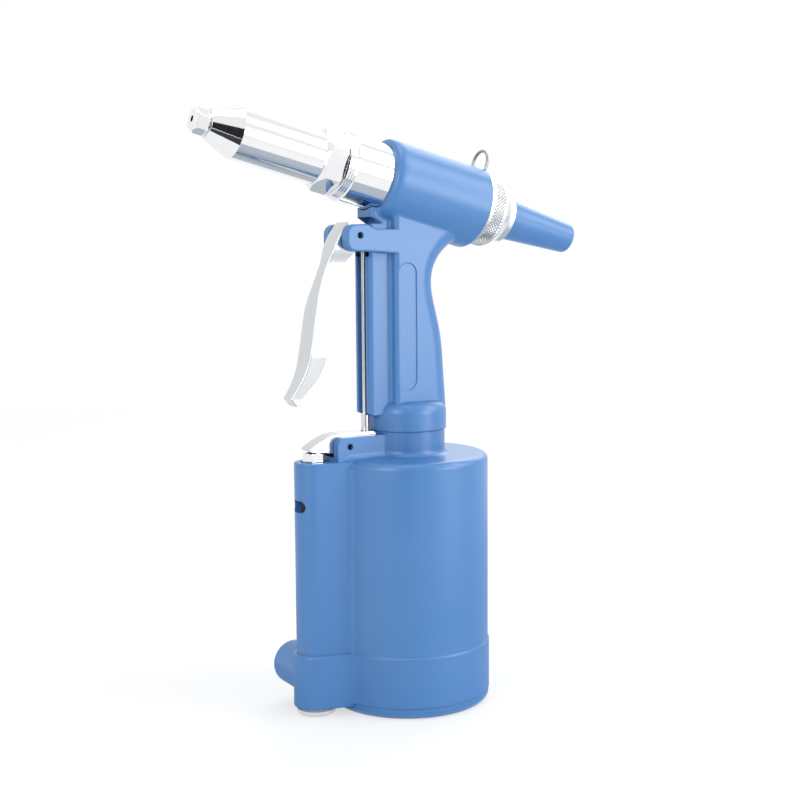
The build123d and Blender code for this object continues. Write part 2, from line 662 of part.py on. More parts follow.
def make_base_cap():
    """Cap that closes the foot of the cylinder, with the pocket of the piston nut."""
    outer_r = CYL_R + CAP_STEP
    spigot_r = CYL_BORE_R - RUN
    groove_low = CAP_H + (CAP_SPIGOT_H - RING_W) / 2 - SEAT
    groove_top = groove_low + RING_W + 2 * SEAT
    cap = upright([
        (0, 0),
        (outer_r, 0),
        (outer_r, CAP_H - SEAT),
        (spigot_r, CAP_H - SEAT),
        (spigot_r, groove_low),
        (spigot_r - RING_W, groove_low),
        (spigot_r - RING_W, groove_top),
        (spigot_r, groove_top),
        (spigot_r, CAP_H + CAP_SPIGOT_H),
        (CAP_POCKET_R, CAP_H + CAP_SPIGOT_H),
        (CAP_POCKET_R, CAP_FLOOR),
        (0, CAP_FLOOR),
    ])
    return fillet(cap.faces().sort_by(Axis.Z)[0].edges(), CAP_EDGE)


def make_cap_ring():
    """Sealing ring in the groove of the base cap."""
    low = CAP_H + (CAP_SPIGOT_H - RING_W) / 2
    outer_r = CYL_BORE_R - 2 * RUN
    seal = ring(outer_r, outer_r - RING_W + 2 * RUN, low, low + RING_W)
    return fillet(seal.edges(), RING_W * 0.35)


def make_air_piston():
    """Dished aluminium piston with a seal groove in its rim."""
    rim_r = CYL_BORE_R - PISTON_PLAY
    top = PISTON_Z + PISTON_H
    groove_low = PISTON_Z + (PISTON_H - RING_W) / 2 - SEAT
    groove_top = groove_low + RING_W + 2 * SEAT
    web_top = PISTON_Z + PISTON_WEB
    return upright([
        (ROD_STUD_R + RUN, PISTON_Z),
        (rim_r, PISTON_Z),
        (rim_r, groove_low),
        (rim_r - RING_W, groove_low),
        (rim_r - RING_W, groove_top),
        (rim_r, groove_top),
        (rim_r, top - 1),
        (rim_r - 1, top),
        (PISTON_DISH_R + 2, top),
        (PISTON_DISH_R, web_top),
        (ROD_STUD_R + RUN, web_top),
    ])


def make_air_piston_seal():
    """Seal in the rim of the air piston, which runs on the cylinder wall."""
    low = PISTON_Z + (PISTON_H - RING_W) / 2
    outer_r = CYL_BORE_R - RUN
    groove_r = CYL_BORE_R - PISTON_PLAY - RING_W
    return ring(outer_r, groove_r + RUN, low, low + RING_W)


def make_piston_rod():
    """Rod that pushes the oil, with the stud that holds the air piston."""
    web_top = PISTON_Z + PISTON_WEB
    stud_low = PISTON_Z - ROD_STUD_OUT
    return upright([
        (0, stud_low),
        (ROD_STUD_R - 0.5, stud_low),
        (ROD_STUD_R, stud_low + 0.5),
        (ROD_STUD_R, web_top),
        (ROD_R, web_top),
        (ROD_R, ROD_TOP_Z - 1),
        (ROD_R - 1, ROD_TOP_Z),
        (0, ROD_TOP_Z),
    ])


def make_piston_nut():
    """Hexagon nut under the air piston."""
    top = PISTON_Z - WASHER_H
    nut = hex_post(NUT_ACROSS, top - NUT_H, top)
    return nut - post(ROD_STUD_R + RUN, top - NUT_H - 1, top + 1)


def make_piston_washer():
    """Washer between the nut and the air piston."""
    return ring(WASHER_R, ROD_STUD_R + RUN, PISTON_Z - WASHER_H, PISTON_Z)


def make_ring_nut():
    """Nut inside the cylinder that holds the handle on the neck."""
    nut = hex_post(RING_NUT_ACROSS, SPIGOT_LOW_Z, ROOF_Z)
    return nut - post(SPIGOT_R + RUN, SPIGOT_LOW_Z - 1, ROOF_Z + 1)


def make_gland():
    """Bronze bush that guides the rod into the oil bore."""
    return ring(GLAND_R - RUN, ROD_R + RUN, GLAND_LOW_Z, GLAND_LOW_Z + GLAND_H)


def make_gland_seal():
    """Oil seal above the gland."""
    seal = ring(GLAND_R - RUN, ROD_R + RUN, GLAND_TOP_Z - GLAND_SEAL_H, GLAND_TOP_Z)
    lip = upright([
        (ROD_R, GLAND_TOP_Z + 1),
        (ROD_R + 1.6, GLAND_TOP_Z + 1),
        (ROD_R + 1.0, GLAND_TOP_Z - GLAND_SEAL_H / 2),
    ])
    return seal - lip


def grip_profile():
    """Side view of the grip, from the lip over the collar into the barrel."""
    points = [(x, NECK_TOP_Z + up) for x, up in GRIP_BACK_LOW]
    points += [(x, BARREL_Z - down) for x, down in GRIP_BACK_TOP]
    back = Spline(*points_xz(points), tangents=[(0.05, 0, 1), (-1, 0, 0.35)])
    low_x, low_z = points[0]
    inside_z = BARREL_Z - HEAD_R / 4
    rest = Polyline(
        back @ 1,
        (points[-1][0] + HEAD_R / 3, 0, inside_z),
        (GRIP_FRONT_X, 0, inside_z),
        (GRIP_FRONT_X, 0, low_z),
        (low_x, 0, low_z),
    )
    return make_face([back, *rest.edges()])


def make_grip():
    """Grip as a rounded slab that flares into the barrel at its back."""
    slab = side_plate(grip_profile(), GRIP_HALF_W)
    sides = [e for e in slab.edges() if abs(abs(e.center().Y) - GRIP_HALF_W) < 0.01]
    spine = [e for e in sides if e.geom_type == GeomType.BSPLINE]
    slab = fillet(spine, GRIP_BACK_ROUND)
    sides = [e for e in slab.edges().filter_by(Axis.Z) if e.center().X > GRIP_FRONT_X - 0.1]
    return fillet(sides, GRIP_FRONT_ROUND)


def make_barrel():
    """Outer form of the barrel, with a rounded lip and a slight draft."""
    lip_start = (BARREL_FRONT - BARREL_LIP_L, 0, BARREL_FRONT_R)
    lip_end = (BARREL_FRONT, 0, HEAD_R + BARREL_LIP_FLAT)
    lip = Bezier(lip_start, (BARREL_FRONT, 0, BARREL_FRONT_R), lip_end)
    rest = Polyline(lip_end, (BARREL_FRONT, 0, 0), (BARREL_REAR, 0, 0),
                    (BARREL_REAR, 0, BARREL_REAR_R), lip_start)
    body = revolve(make_face([lip, *rest.edges()]), Axis.X, 360)
    rims = body.edges().filter_by(GeomType.CIRCLE).sort_by(Axis.X)
    return on_barrel(fillet(rims[0], BARREL_EDGE))


def make_ears():
    """Solid from which the two trigger ears are cut."""
    root = GRIP_FRONT_X - EAR_REACH - TRIGGER_PIN_X
    link = -LINK_ARM
    outline = from_pin([
        (root, EAR_ROOT_UP),
        (link - EAR_EDGE, EAR_ROOT_UP),
        (link + EAR_ROUND, EAR_UP),
        (EAR_REACH, EAR_UP),
        (EAR_REACH, -EAR_DOWN),
        (link + EAR_ROUND, -EAR_DOWN),
        (root, -EAR_ROOT_DOWN),
    ])
    body = side_plate(make_face(Polyline(*points_xz(outline), close=True)), EAR_OUT_Y)
    tips = body.edges().filter_by(Axis.Y).sort_by(Axis.X)[-2:]
    body = fillet(tips, EAR_ROUND)
    outer = [e for e in body.edges() if abs(abs(e.center().Y) - EAR_OUT_Y) < 0.01]
    front_edges = [e for e in outer if e.center().X > PULL_X + 0.01]
    return fillet(front_edges, EAR_EDGE)


def make_front_rib():
    """Narrow rib on the front of the grip, with the hood under the barrel."""
    rib = block(0, RIB_FRONT_X, RIB_HALF_W, RIB_FOOT_Z, HOOD_LOW_Z)
    front = rib.edges().filter_by(Axis.Z).sort_by(Axis.X)[-2:]
    foot = rib.edges().filter_by(Axis.Y).sort_by(Axis.X)[-2:].sort_by(Axis.Z)[0]
    rib = fillet([*front, foot], RIB_ROUND)
    top_z = BARREL_Z - HEAD_R / 2
    outline = [
        (0, HOOD_LOW_Z - RIB_ROUND),
        (RIB_FRONT_X - HOOD_LOW_IN, HOOD_LOW_Z - RIB_ROUND),
        (RIB_FRONT_X - HOOD_LOW_IN, HOOD_LOW_Z),
        (RIB_FRONT_X - HOOD_TOP_IN, BARREL_Z - BARREL_FRONT_R * 0.75),
        (RIB_FRONT_X - HOOD_TOP_IN, top_z),
        (0, top_z),
    ]
    hood = side_plate(make_face(Polyline(*points_xz(outline), close=True)), RIB_HALF_W)
    sides = [e for e in hood.edges() if abs(abs(e.center().Y) - RIB_HALF_W) < 0.01]
    corners = [e for e in sides if e.center().X > RIB_FRONT_X - HOOD_LOW_IN - 0.01
               and e.center().Z < top_z - 0.01]
    return rib + fillet(corners, RIB_ROUND)


def make_collar():
    """Round collar of the handle that stands on the neck, with its spigot."""
    body = post(COLLAR_R, NECK_TOP_Z, COLLAR_TOP_Z)
    body = fillet(body.faces().sort_by(Axis.Z)[-1].edges(), COLLAR_ROUND)
    edge = body.faces().sort_by(Axis.Z)[0].edges()
    body = chamfer(edge, 0.4)
    return body + post(SPIGOT_R, SPIGOT_LOW_Z, NECK_TOP_Z + 1)


def panel_cut():
    """Shallow rounded panels in both sides of the grip."""
    low_z = NECK_TOP_Z + PANEL_LOW_H
    top_z = BARREL_Z - PANEL_TOP_DROP
    middle = Pos(GRIP_FRONT_X - PANEL_INSET, (low_z + top_z) / 2) * Rot(0, 0, 90)
    outline = middle * SlotOverall(top_z - low_z, 2 * PANEL_HALF_W)
    cuts = []
    for side in (1, -1):
        plane = Plane(origin=(0, side * (GRIP_HALF_W - PANEL_DEPTH), 0), x_dir=(1, 0, 0), z_dir=(0, -1, 0))
        cuts.append(extrude(plane * outline, -side * GRIP_HALF_W))
    return cuts


def under_barrel(edge):
    """Whether an edge runs where the grip meets the underside of the barrel."""
    for part in (0.1, 0.5, 0.9):
        x, y, z = tuple((Rot(0, BARREL_TILT, 0) * Pos(0, 0, -BARREL_Z) * Pos(*tuple(edge @ part))).position)
        inside = BARREL_REAR + 1 < x < BARREL_FRONT - BARREL_LIP_L
        if not inside or z > -BARREL_FRONT_R / 4 or abs(math.hypot(y, z) - BARREL_FRONT_R) > 0.35:
            return False
    return True


def make_blank():
    """Grip, rib and barrel as one casting, with the fillets between them."""
    body = make_grip() + make_front_rib()
    seams = [e for e in body.edges().filter_by(Axis.Z) if abs(e.center().X - GRIP_FRONT_X) < 0.05
             and abs(abs(e.center().Y) - RIB_HALF_W) < 0.05]
    body = fillet(seams, GRIP_SEAM_ROUND) + make_barrel()
    return fillet([e for e in body.edges() if under_barrel(e)], BLEND_ROUND)


def make_handle():
    """Handle casting: barrel, grip, ears, rib with its channel, and collar."""
    body = make_blank() + make_ears() + make_collar()
    bore = on_barrel(rod(HEAD_R + RUN, BARREL_REAR - 1, BARREL_FRONT + 1))
    nose_room = on_barrel(rod(HEAD_R + FREE, BARREL_FRONT, HEAD_SHOULDER))
    oil_bore = post(OIL_R, SPIGOT_LOW_Z - 1, BARREL_Z - HEAD_BORE_R)
    gland_seat = post(GLAND_R, SPIGOT_LOW_Z - 1, GLAND_TOP_Z + SEAT)
    pocket_low = TRIGGER_PIN_Z - POCKET_DOWN
    channel = block(RIB_FRONT_X - CHANNEL_DEPTH, RIB_FRONT_X + 1, CHANNEL_HALF_W,
                    NECK_TOP_Z + FREE, pocket_low + 1)
    pocket = block(PULL_X - POCKET_BACK, TRIGGER_PIN_X + EAR_REACH + 1, EAR_IN_Y,
                   pocket_low, TRIGGER_PIN_Z + POCKET_UP)
    pin_hole = cross_pin(TRIGGER_PIN_R + RUN, EAR_OUT_Y + 1, TRIGGER_PIN_X, TRIGGER_PIN_Z)
    channel -= post(COLLAR_R + 1, NECK_TOP_Z, RIB_FOOT_Z - 1)
    body = body - bore - nose_room - oil_bore - gland_seat - channel - pocket - pin_hole
    for cut in panel_cut():
        body -= cut
    for cut in oil_screw_cuts():
        body -= cut
    return body


def oil_screw_cuts():
    """Spot face and threaded hole of the oil screw on the far side."""
    face_y = -(GRIP_HALF_W - OIL_FACE_IN)
    spot = far_side(OIL_WASHER_R + FREE, face_y - BARREL_REAR_R, BARREL_REAR_R)
    hole = far_side(OIL_STUD_R + RUN, face_y - 1, GRIP_HALF_W)
    return [spot, hole]


def far_side(radius, y_outer, length):
    """Cylinder along Y at the oil screw, from y_outer inwards."""
    return Pos(OIL_SCREW_X, y_outer + length / 2, OIL_SCREW_Z) * Rot(90, 0, 0) * Cylinder(radius, length)


def make_oil_screw():
    """Oil filling screw with a hexagon socket."""
    seat_y = -(GRIP_HALF_W - OIL_FACE_IN) - OIL_WASHER_H
    head = far_side(OIL_SCREW_R, seat_y - OIL_SCREW_H, OIL_SCREW_H)
    head = fillet(head.faces().sort_by(Axis.Y)[0].edges(), OIL_SCREW_EDGE)
    stud = far_side(OIL_STUD_R, seat_y - 0.5, OIL_STUD_L + 0.5)
    key = Plane(origin=(OIL_SCREW_X, seat_y - OIL_SCREW_H, OIL_SCREW_Z), z_dir=(0, 1, 0))
    socket = extrude(key * RegularPolygon(OIL_KEY_ACROSS / math.sqrt(3), 6), OIL_SCREW_H * 0.7)
    return head + stud - socket


def make_oil_washer():
    """Sealing washer under the oil screw."""
    seat_y = -(GRIP_HALF_W - OIL_FACE_IN)
    disc = far_side(OIL_WASHER_R, seat_y - OIL_WASHER_H, OIL_WASHER_H)
    return disc - far_side(OIL_STUD_R + RUN, seat_y - 2 * OIL_WASHER_H, 3 * OIL_WASHER_H)


def make_head_cylinder():
    """Steel cylinder in the barrel: oil chamber, rod guide and front thread."""
    gallery_start, gallery_end = HEAD_GALLERY
    chamfer_start = HEAD_SHOULDER - HEAD_CHAMFER
    body = turned([
        (HEAD_REAR, HEAD_BORE_R),
        (HEAD_REAR, HEAD_R),
        (gallery_start, HEAD_R),
        (gallery_start, HEAD_GALLERY_R),
        (gallery_end, HEAD_GALLERY_R),
        (gallery_end, HEAD_R),
        (chamfer_start, HEAD_R),
        (HEAD_SHOULDER, HEAD_R - HEAD_CHAMFER),
        (HEAD_SHOULDER, HEAD_STEP_R),
        (HEAD_STEP_END, HEAD_STEP_R),
        (HEAD_STEP_END, HEAD_THREAD_R + RUN),
        (GUIDE_END + SEAT, HEAD_THREAD_R + RUN),
        (GUIDE_END + SEAT, HEAD_SEAL_R),
        (SEAL_START, HEAD_SEAL_R),
        (SEAL_START, DRAW_FRONT_R + FREE),
        (DRAW_CHAMBER_END, DRAW_FRONT_R + FREE),
        (DRAW_CHAMBER_END, HEAD_BORE_R),
    ])
    for ahead in HEAD_LINES:
        line = HEAD_SHOULDER + ahead
        body -= tube(HEAD_R, HEAD_STEP_R - LINE_DEPTH, line, line + LINE_W)
    for station in HEAD_RINGS:
        half = HEAD_RING_W / 2 + SEAT
        body -= tube(HEAD_R + 1, HEAD_R - HEAD_RING_W, station - half, station + half)
    port = Pos(HEAD_PORT, 0, -(HEAD_BORE_R + HEAD_R) / 2) * Cylinder(HEAD_PORT_R, 2 * (HEAD_R - HEAD_BORE_R))
    return on_barrel(body - port)


def make_head_rings():
    """Two sealing rings between the head cylinder and the barrel."""
    rings = []
    for station in HEAD_RINGS:
        half = HEAD_RING_W / 2
        seal = tube(HEAD_R, HEAD_R - HEAD_RING_W + RUN, station - half, station + half)
        rings.append(on_barrel(fillet(seal.edges(), HEAD_RING_W * 0.35)))
    return Compound(rings)


def make_front_seal():
    """Oil seal round the draw rod."""
    return on_barrel(tube(HEAD_SEAL_R - RUN, DRAW_FRONT_R + RUN, SEAL_START, SEAL_END))


def make_guide_bush():
    """Bronze bush that guides the draw rod."""
    return on_barrel(tube(HEAD_SEAL_R - RUN, DRAW_FRONT_R + RUN, SEAL_END, GUIDE_END))


def make_draw_rod():
    """Hollow draw rod with its piston, front stud and tail tube."""
    piston_r = HEAD_BORE_R - RUN
    groove = (DRAW_BACK + DRAW_FACE - DRAW_SEAL_W) / 2
    groove_end = groove + DRAW_SEAL_W
    groove_r = piston_r - DRAW_SEAL_DEPTH
    return on_barrel(turned([
        (DRAW_TAIL_END, DRAW_BORE_R),
        (DRAW_TAIL_END, DRAW_TAIL_R - 0.5),
        (DRAW_TAIL_END + 0.5, DRAW_TAIL_R),
        (DRAW_BACK, DRAW_TAIL_R),
        (DRAW_BACK, piston_r),
        (groove - SEAT, piston_r),
        (groove - SEAT, groove_r),
        (groove_end + SEAT, groove_r),
        (groove_end + SEAT, piston_r),
        (DRAW_FACE, piston_r),
        (DRAW_FACE, DRAW_FRONT_R),
        (DRAW_NECK, DRAW_FRONT_R),
        (DRAW_NECK, DRAW_STUD_R),
        (DRAW_END, DRAW_STUD_R),
        (DRAW_END, DRAW_POCKET_R),
        (DRAW_POCKET, DRAW_POCKET_R),
        (DRAW_POCKET, DRAW_BORE_R),
    ]))


def make_draw_rod_seal():
    """Seal in the rim of the draw rod's piston."""
    start = (DRAW_BACK + DRAW_FACE - DRAW_SEAL_W) / 2
    outer_r = HEAD_BORE_R - RUN
    return on_barrel(tube(outer_r, outer_r - DRAW_SEAL_DEPTH + RUN, start, start + DRAW_SEAL_W))


def make_return_spring():
    """Coil spring that returns the draw rod to the front."""
    radius = HEAD_BORE_R - FREE - SPRING_WIRE
    return on_barrel(coil(radius, SPRING_WIRE, CAP_WALL_FRONT + SEAT, DRAW_BACK - SEAT, SPRING_TURNS))


def make_jaw_case():
    """Case whose inner cone closes the jaws, screwed on the draw rod."""
    nose = CASE_FRONT
    return on_barrel(turned([
        (CASE_REAR, DRAW_STUD_R + RUN),
        (CASE_REAR, CASE_R - 0.6),
        (CASE_REAR + 0.6, CASE_R),
        (nose - 1.2, CASE_R),
        (nose, CASE_R - 1.2),
        (nose, CASE_MOUTH_R),
        (CASE_CONE_START, CASE_BORE_R),
        (DRAW_END, CASE_BORE_R),
        (DRAW_END, DRAW_STUD_R + RUN),
    ]))


def jaw_radius(station):
    """Radius of the closed jaws' outer cone, which then fills the case's cone."""
    return CASE_MOUTH_R + (CASE_FRONT - station) * CASE_SLOPE - RUN


def make_jaws():
    """Jaws cut from one closed cone, then slid back and spread in their case."""
    rear = JAW_REAR + JAW_SLIDE
    front = JAW_FRONT + JAW_SLIDE
    cone = turned([
        (rear, JAW_HOLLOW_R),
        (rear, jaw_radius(rear)),
        (front, jaw_radius(front)),
        (front, JAW_BORE_R),
        (rear + JAW_HOLLOW, JAW_BORE_R),
    ])
    step = 360 / JAW_COUNT
    saw_h = 2 * CASE_BORE_R
    jaws = []
    for index in range(JAW_COUNT):
        keep = cone
        for side in (-0.5, 0.5):
            cut = Pos((rear + front) / 2, 0, 0) * Rot((index + side) * step, 0, 0)
            keep -= cut * Pos(0, 0, saw_h / 2) * Box(JAW_L + 2, JAW_SPLIT, saw_h)
        jaw = max(keep.solids(), key=lambda s: outward(s, index * step))
        turn = math.radians(index * step)
        spread = Pos(-JAW_SLIDE, -JAW_SPREAD * math.sin(turn), JAW_SPREAD * math.cos(turn))
        jaws.append(on_barrel(spread * jaw))
    return jaws


def outward(solid, turn):
    """How far a solid lies out along the radius at this turn about X."""
    at = solid.center()
    angle = math.radians(turn)
    return at.Z * math.cos(angle) - at.Y * math.sin(angle)


def make_jaw_pusher():
    """Pusher whose cone spreads the jaws, guided in the draw rod's pocket."""
    tip_r = PUSHER_BORE_R + PUSHER_TIP_WALL
    slope = JAW_HOLLOW / (JAW_HOLLOW_R - JAW_BORE_R)
    base = JAW_REAR - PUSHER_PLAY
    tip = base + (JAW_HOLLOW_R - tip_r) * slope
    return on_barrel(turned([
        (PUSHER_REAR, PUSHER_BORE_R),
        (PUSHER_REAR, DRAW_POCKET_R - RUN),
        (PUSHER_SHOULDER, DRAW_POCKET_R - RUN),
        (PUSHER_SHOULDER, PUSHER_R),
        (PUSHER_CONE, PUSHER_R),
        (base, JAW_HOLLOW_R),
        (tip, tip_r),
        (tip, PUSHER_BORE_R),
    ]))


def make_jaw_spring():
    """Coil spring behind the pusher."""
    radius = DRAW_POCKET_R - FREE - JAW_SPRING_WIRE / 2
    start = DRAW_POCKET + SEAT
    return on_barrel(coil(radius, JAW_SPRING_WIRE, start, PUSHER_REAR - SEAT, JAW_SPRING_TURNS))


def make_nose_sleeve():
    """Long sleeve with a threaded tail in the head and a tapered front end."""
    bore = CASE_R + RUN
    return on_barrel(turned([
        (NOSE_TAIL, bore),
        (NOSE_TAIL, HEAD_THREAD_R),
        (NOSE_SHOULDER, HEAD_THREAD_R),
        (NOSE_SHOULDER, NOSE_R),
        (NOSE_CONE, NOSE_R),
        (NOSE_END, NOSE_END_R),
        (NOSE_END, TIP_THREAD_R + RUN),
        (NOSE_THROAT, TIP_THREAD_R + RUN),
        (NOSE_BORE_END, bore),
    ]))


def make_lock_nut():
    """Hexagon nut that locks the sleeve's thread against the head cylinder."""
    body = hexagon(HEX_NUT_ACROSS, HEX_NUT_REAR, HEX_NUT_FRONT, HEX_NUT_TURN)
    corner = HEX_NUT_ACROSS / math.sqrt(3)
    round_off = turned([
        (HEX_NUT_REAR, 0),
        (HEX_NUT_REAR, corner - HEX_NUT_CHAMFER),
        (HEX_NUT_REAR + HEX_NUT_CHAMFER, corner),
        (HEX_NUT_FRONT - 2 * HEX_NUT_CHAMFER, corner),
        (HEX_NUT_FRONT, corner - 2 * HEX_NUT_CHAMFER),
        (HEX_NUT_FRONT, 0),
    ])
    thread = rod(HEAD_THREAD_R + RUN, HEX_NUT_REAR - 1, HEX_NUT_FRONT + 1)
    return on_barrel((body & round_off) - thread)


def make_nosepiece():
    """Nosepiece with a hexagon, a threaded shank and the hole of the mandrel."""
    seat = NOSE_END + SEAT
    hex_start = seat + TIP_SEAT_L
    corner = TIP_ACROSS / math.sqrt(3)
    bar = hexagon(TIP_ACROSS, hex_start, TIP_END, TIP_TURN)
    round_off = turned([
        (hex_start, 0),
        (hex_start, corner),
        (TIP_END - TIP_CHAMFER, corner),
        (TIP_END, TIP_FACE_R),
        (TIP_END, 0),
    ])
    shank = turned([
        (TIP_REAR, 0),
        (TIP_REAR, TIP_BORE_R + 1.0),
        (TIP_REAR + 1.6, TIP_THREAD_R),
        (seat, TIP_THREAD_R),
        (seat, TIP_ACROSS / 2),
        (hex_start + 0.2, TIP_ACROSS / 2),
        (hex_start + 0.2, 0),
    ])
    bore = rod(TIP_BORE_R, TIP_REAR - 1, TIP_END + 1)
    return on_barrel((bar & round_off) + shank - bore)


def make_rear_cap():
    """Rear cap: thread spigot, rim, grip band, shoulder and catcher socket."""
    rim_r = REAR_CAP_R + REAR_CAP_RIM
    return on_barrel(turned([
        (HEAD_REAR - SEAT, REAR_CAP_SPRING_R),
        (HEAD_REAR - SEAT, HEAD_R),
        (CAP_FACE, HEAD_R),
        (CAP_FACE, rim_r - 0.4),
        (CAP_FACE - 0.4, rim_r),
        (CAP_RIM_END, rim_r),
        (CAP_RIM_END - 0.4, REAR_CAP_R),
        (CAP_GRIP_END, REAR_CAP_R),
        (CAP_GRIP_END - 0.5, REAR_CAP_R - 0.6),
        (CAP_TAPER_END, REAR_CAP_NECK_R + 0.6),
        (CAP_TAPER_END - 0.8, REAR_CAP_NECK_R),
        (CAP_END + 0.6, REAR_CAP_NECK_R),
        (CAP_END, REAR_CAP_NECK_R - 0.6),
        (CAP_END, CATCHER_SPIGOT_R + RUN),
        (CAP_WALL_REAR, CATCHER_SPIGOT_R + RUN),
        (CAP_WALL_REAR, DRAW_TAIL_R + RUN),
        (CAP_WALL_FRONT, DRAW_TAIL_R + RUN),
        (CAP_WALL_FRONT, REAR_CAP_SPRING_R),
    ]))


def make_hanger():
    """Wire ring behind the barrel with the loop that a balancer hooks into."""
    station = (BARREL_REAR + CAP_FACE) / 2
    ring_r = HEAD_R + FREE + WIRE_R
    middle_r = BARREL_REAR_R + HANGER_LEG
    hoop = Rot(0, 90, 0) * Torus(ring_r, WIRE_R)
    foot = math.sqrt(ring_r ** 2 - HANGER_LOOP_R ** 2)
    left = Line((0, -HANGER_LOOP_R, foot), (0, -HANGER_LOOP_R, middle_r))
    top = ThreePointArc(
        (0, -HANGER_LOOP_R, middle_r),
        (0, 0, middle_r + HANGER_LOOP_R),
        (0, HANGER_LOOP_R, middle_r),
    )
    right = Line((0, HANGER_LOOP_R, middle_r), (0, HANGER_LOOP_R, foot))
    section = Plane(origin=(0, -HANGER_LOOP_R, foot), z_dir=(0, 0, 1)) * Circle(WIRE_R)
    loop = sweep(section, path=Wire([left, top, right]))
    return on_barrel(Pos(station, 0, 0) * (hoop + loop))


def make_catcher():
    """Hollow mandrel catcher that pushes into the rear cap."""
    half = CATCHER_RING_W / 2 + SEAT
    groove_r = CATCHER_SPIGOT_R - CATCHER_RING_W + SEAT
    body = turned([
        (CATCHER_FRONT, CATCHER_BORE_R),
        (CATCHER_FRONT, CATCHER_SPIGOT_R - 0.4),
        (CATCHER_FRONT - 0.4, CATCHER_SPIGOT_R),
        (CATCHER_RING + half, CATCHER_SPIGOT_R),
        (CATCHER_RING + half, groove_r),
        (CATCHER_RING - half, groove_r),
        (CATCHER_RING - half, CATCHER_SPIGOT_R),
        (CATCHER_SHOULDER, CATCHER_SPIGOT_R),
        (CATCHER_SHOULDER, CATCHER_SPIGOT_R + CATCHER_STEP),
        (CATCHER_END, CATCHER_END_R),
        (CATCHER_END, 0),
        (CATCHER_END + CATCHER_WALL, 0),
        (CATCHER_END + CATCHER_WALL, CATCHER_END_R - CATCHER_WALL),
        (CATCHER_SHOULDER, CATCHER_BORE_R),
    ])
    rims = [e for e in body.edges().filter_by(GeomType.CIRCLE)
            if abs(e.center().X - CATCHER_END) < 0.01 and e.radius > 1]
    return on_barrel(fillet(rims, CATCHER_ROUND))


def make_catcher_ring():
    """Ring that grips the catcher in its socket."""
    half = CATCHER_RING_W / 2
    outer_r = CATCHER_SPIGOT_R
    seal = tube(outer_r, outer_r - CATCHER_RING_W + 3 * RUN, CATCHER_RING - half, CATCHER_RING + half)
    return on_barrel(fillet(seal.edges(), 0.4))


def from_pin(points):
    """Points of the trigger's outline, given from its pin, in the side view."""
    return [(TRIGGER_PIN_X + x, TRIGGER_PIN_Z + z) for x, z in points]


def trigger_widths(inset):
    """Front view of the trigger as a bar along X, with its sides moved in."""
    side = [(w - inset, TRIGGER_PIN_Z + z) for w, z in TRIGGER_WIDTHS]
    outline = side + [(-w, z) for w, z in reversed(side)]
    face = make_face(Polyline(*[(0, y, z) for y, z in outline], close=True))
    inner_heights = [z for w, z in side[1:-1]]
    bends = [v for v in face.vertices() if min(abs(v.Z - z) for z in inner_heights) < 0.01]
    return extrude(fillet(bends, TRIGGER_FLOW), 2 * VALVE_X, dir=(1, 0, 0))


def make_trigger():
    """Pressed steel trigger: a waisted channel that is open to the back."""
    widest = max(w for w, z in TRIGGER_WIDTHS)
    front = Spline(*points_xz(from_pin(TRIGGER_FRONT)))
    toe_x, toe_z = from_pin([TRIGGER_TOE])[0]
    toe = Line(front @ 1, (toe_x, 0, toe_z))
    back = Spline(*points_xz(from_pin([TRIGGER_TOE, *TRIGGER_BACK])))
    heel_points = from_pin(TRIGGER_HEEL)
    heel = Polyline(back @ 1, *points_xz(heel_points), front @ 0)
    outer = side_plate(make_face([front, toe, back, *heel.edges()]), widest) & trigger_widths(0)
    bends = [e for e in outer.edges() if abs(e.center().Y) > TRIGGER_WALL
             and Vertex(e.center().X, 0, e.center().Z).distance_to(front) < TRIGGER_WALL / 2]
    outer = fillet(bends, TRIGGER_BEND)
    inner_line = [(x - TRIGGER_WALL, z - TRIGGER_WALL * 0.87) for x, z in from_pin(TRIGGER_FRONT)]
    inner_front = Spline(*points_xz(inner_line))
    low_z = toe_z - TRIGGER_WALL
    heel_x, heel_z = heel_points[2]
    open_x = heel_x - TRIGGER_WALL
    around = Polyline(
        inner_front @ 1,
        (toe_x - TRIGGER_WALL, 0, low_z),
        (open_x, 0, low_z),
        (open_x, 0, heel_z - TRIGGER_WALL * 0.6),
        inner_front @ 0,
    )
    inner = side_plate(make_face([inner_front, *around.edges()]), widest) & trigger_widths(TRIGGER_WALL)
    toe_turn = math.degrees(math.atan2(toe_z - (front @ 1).Z, toe_x - (front @ 1).X))
    web = Plane.XZ * Pos(toe_x, toe_z) * Rot(0, 0, toe_turn) * Rectangle(4 * widest, 2 * TRIGGER_WALL)
    body = outer - (inner - side_plate(web, widest))
    pin_hole = cross_pin(TRIGGER_PIN_R + RUN, TRIGGER_HALF_W + 1, TRIGGER_PIN_X, TRIGGER_PIN_Z)
    link_hole = cross_pin(LINK_PIN_R + RUN, TRIGGER_HALF_W + 1, PULL_X, TRIGGER_PIN_Z)
    return body - pin_hole - link_hole


def make_trigger_pin():
    """Pin through the ears on which the trigger turns."""
    return cross_pin(TRIGGER_PIN_R, EAR_OUT_Y - PIN_SINK, TRIGGER_PIN_X, TRIGGER_PIN_Z)


def make_link_pin():
    """Short pin in the trigger that lifts the pull rod."""
    return cross_pin(LINK_PIN_R, TRIGGER_HALF_W - SEAT, PULL_X, TRIGGER_PIN_Z)


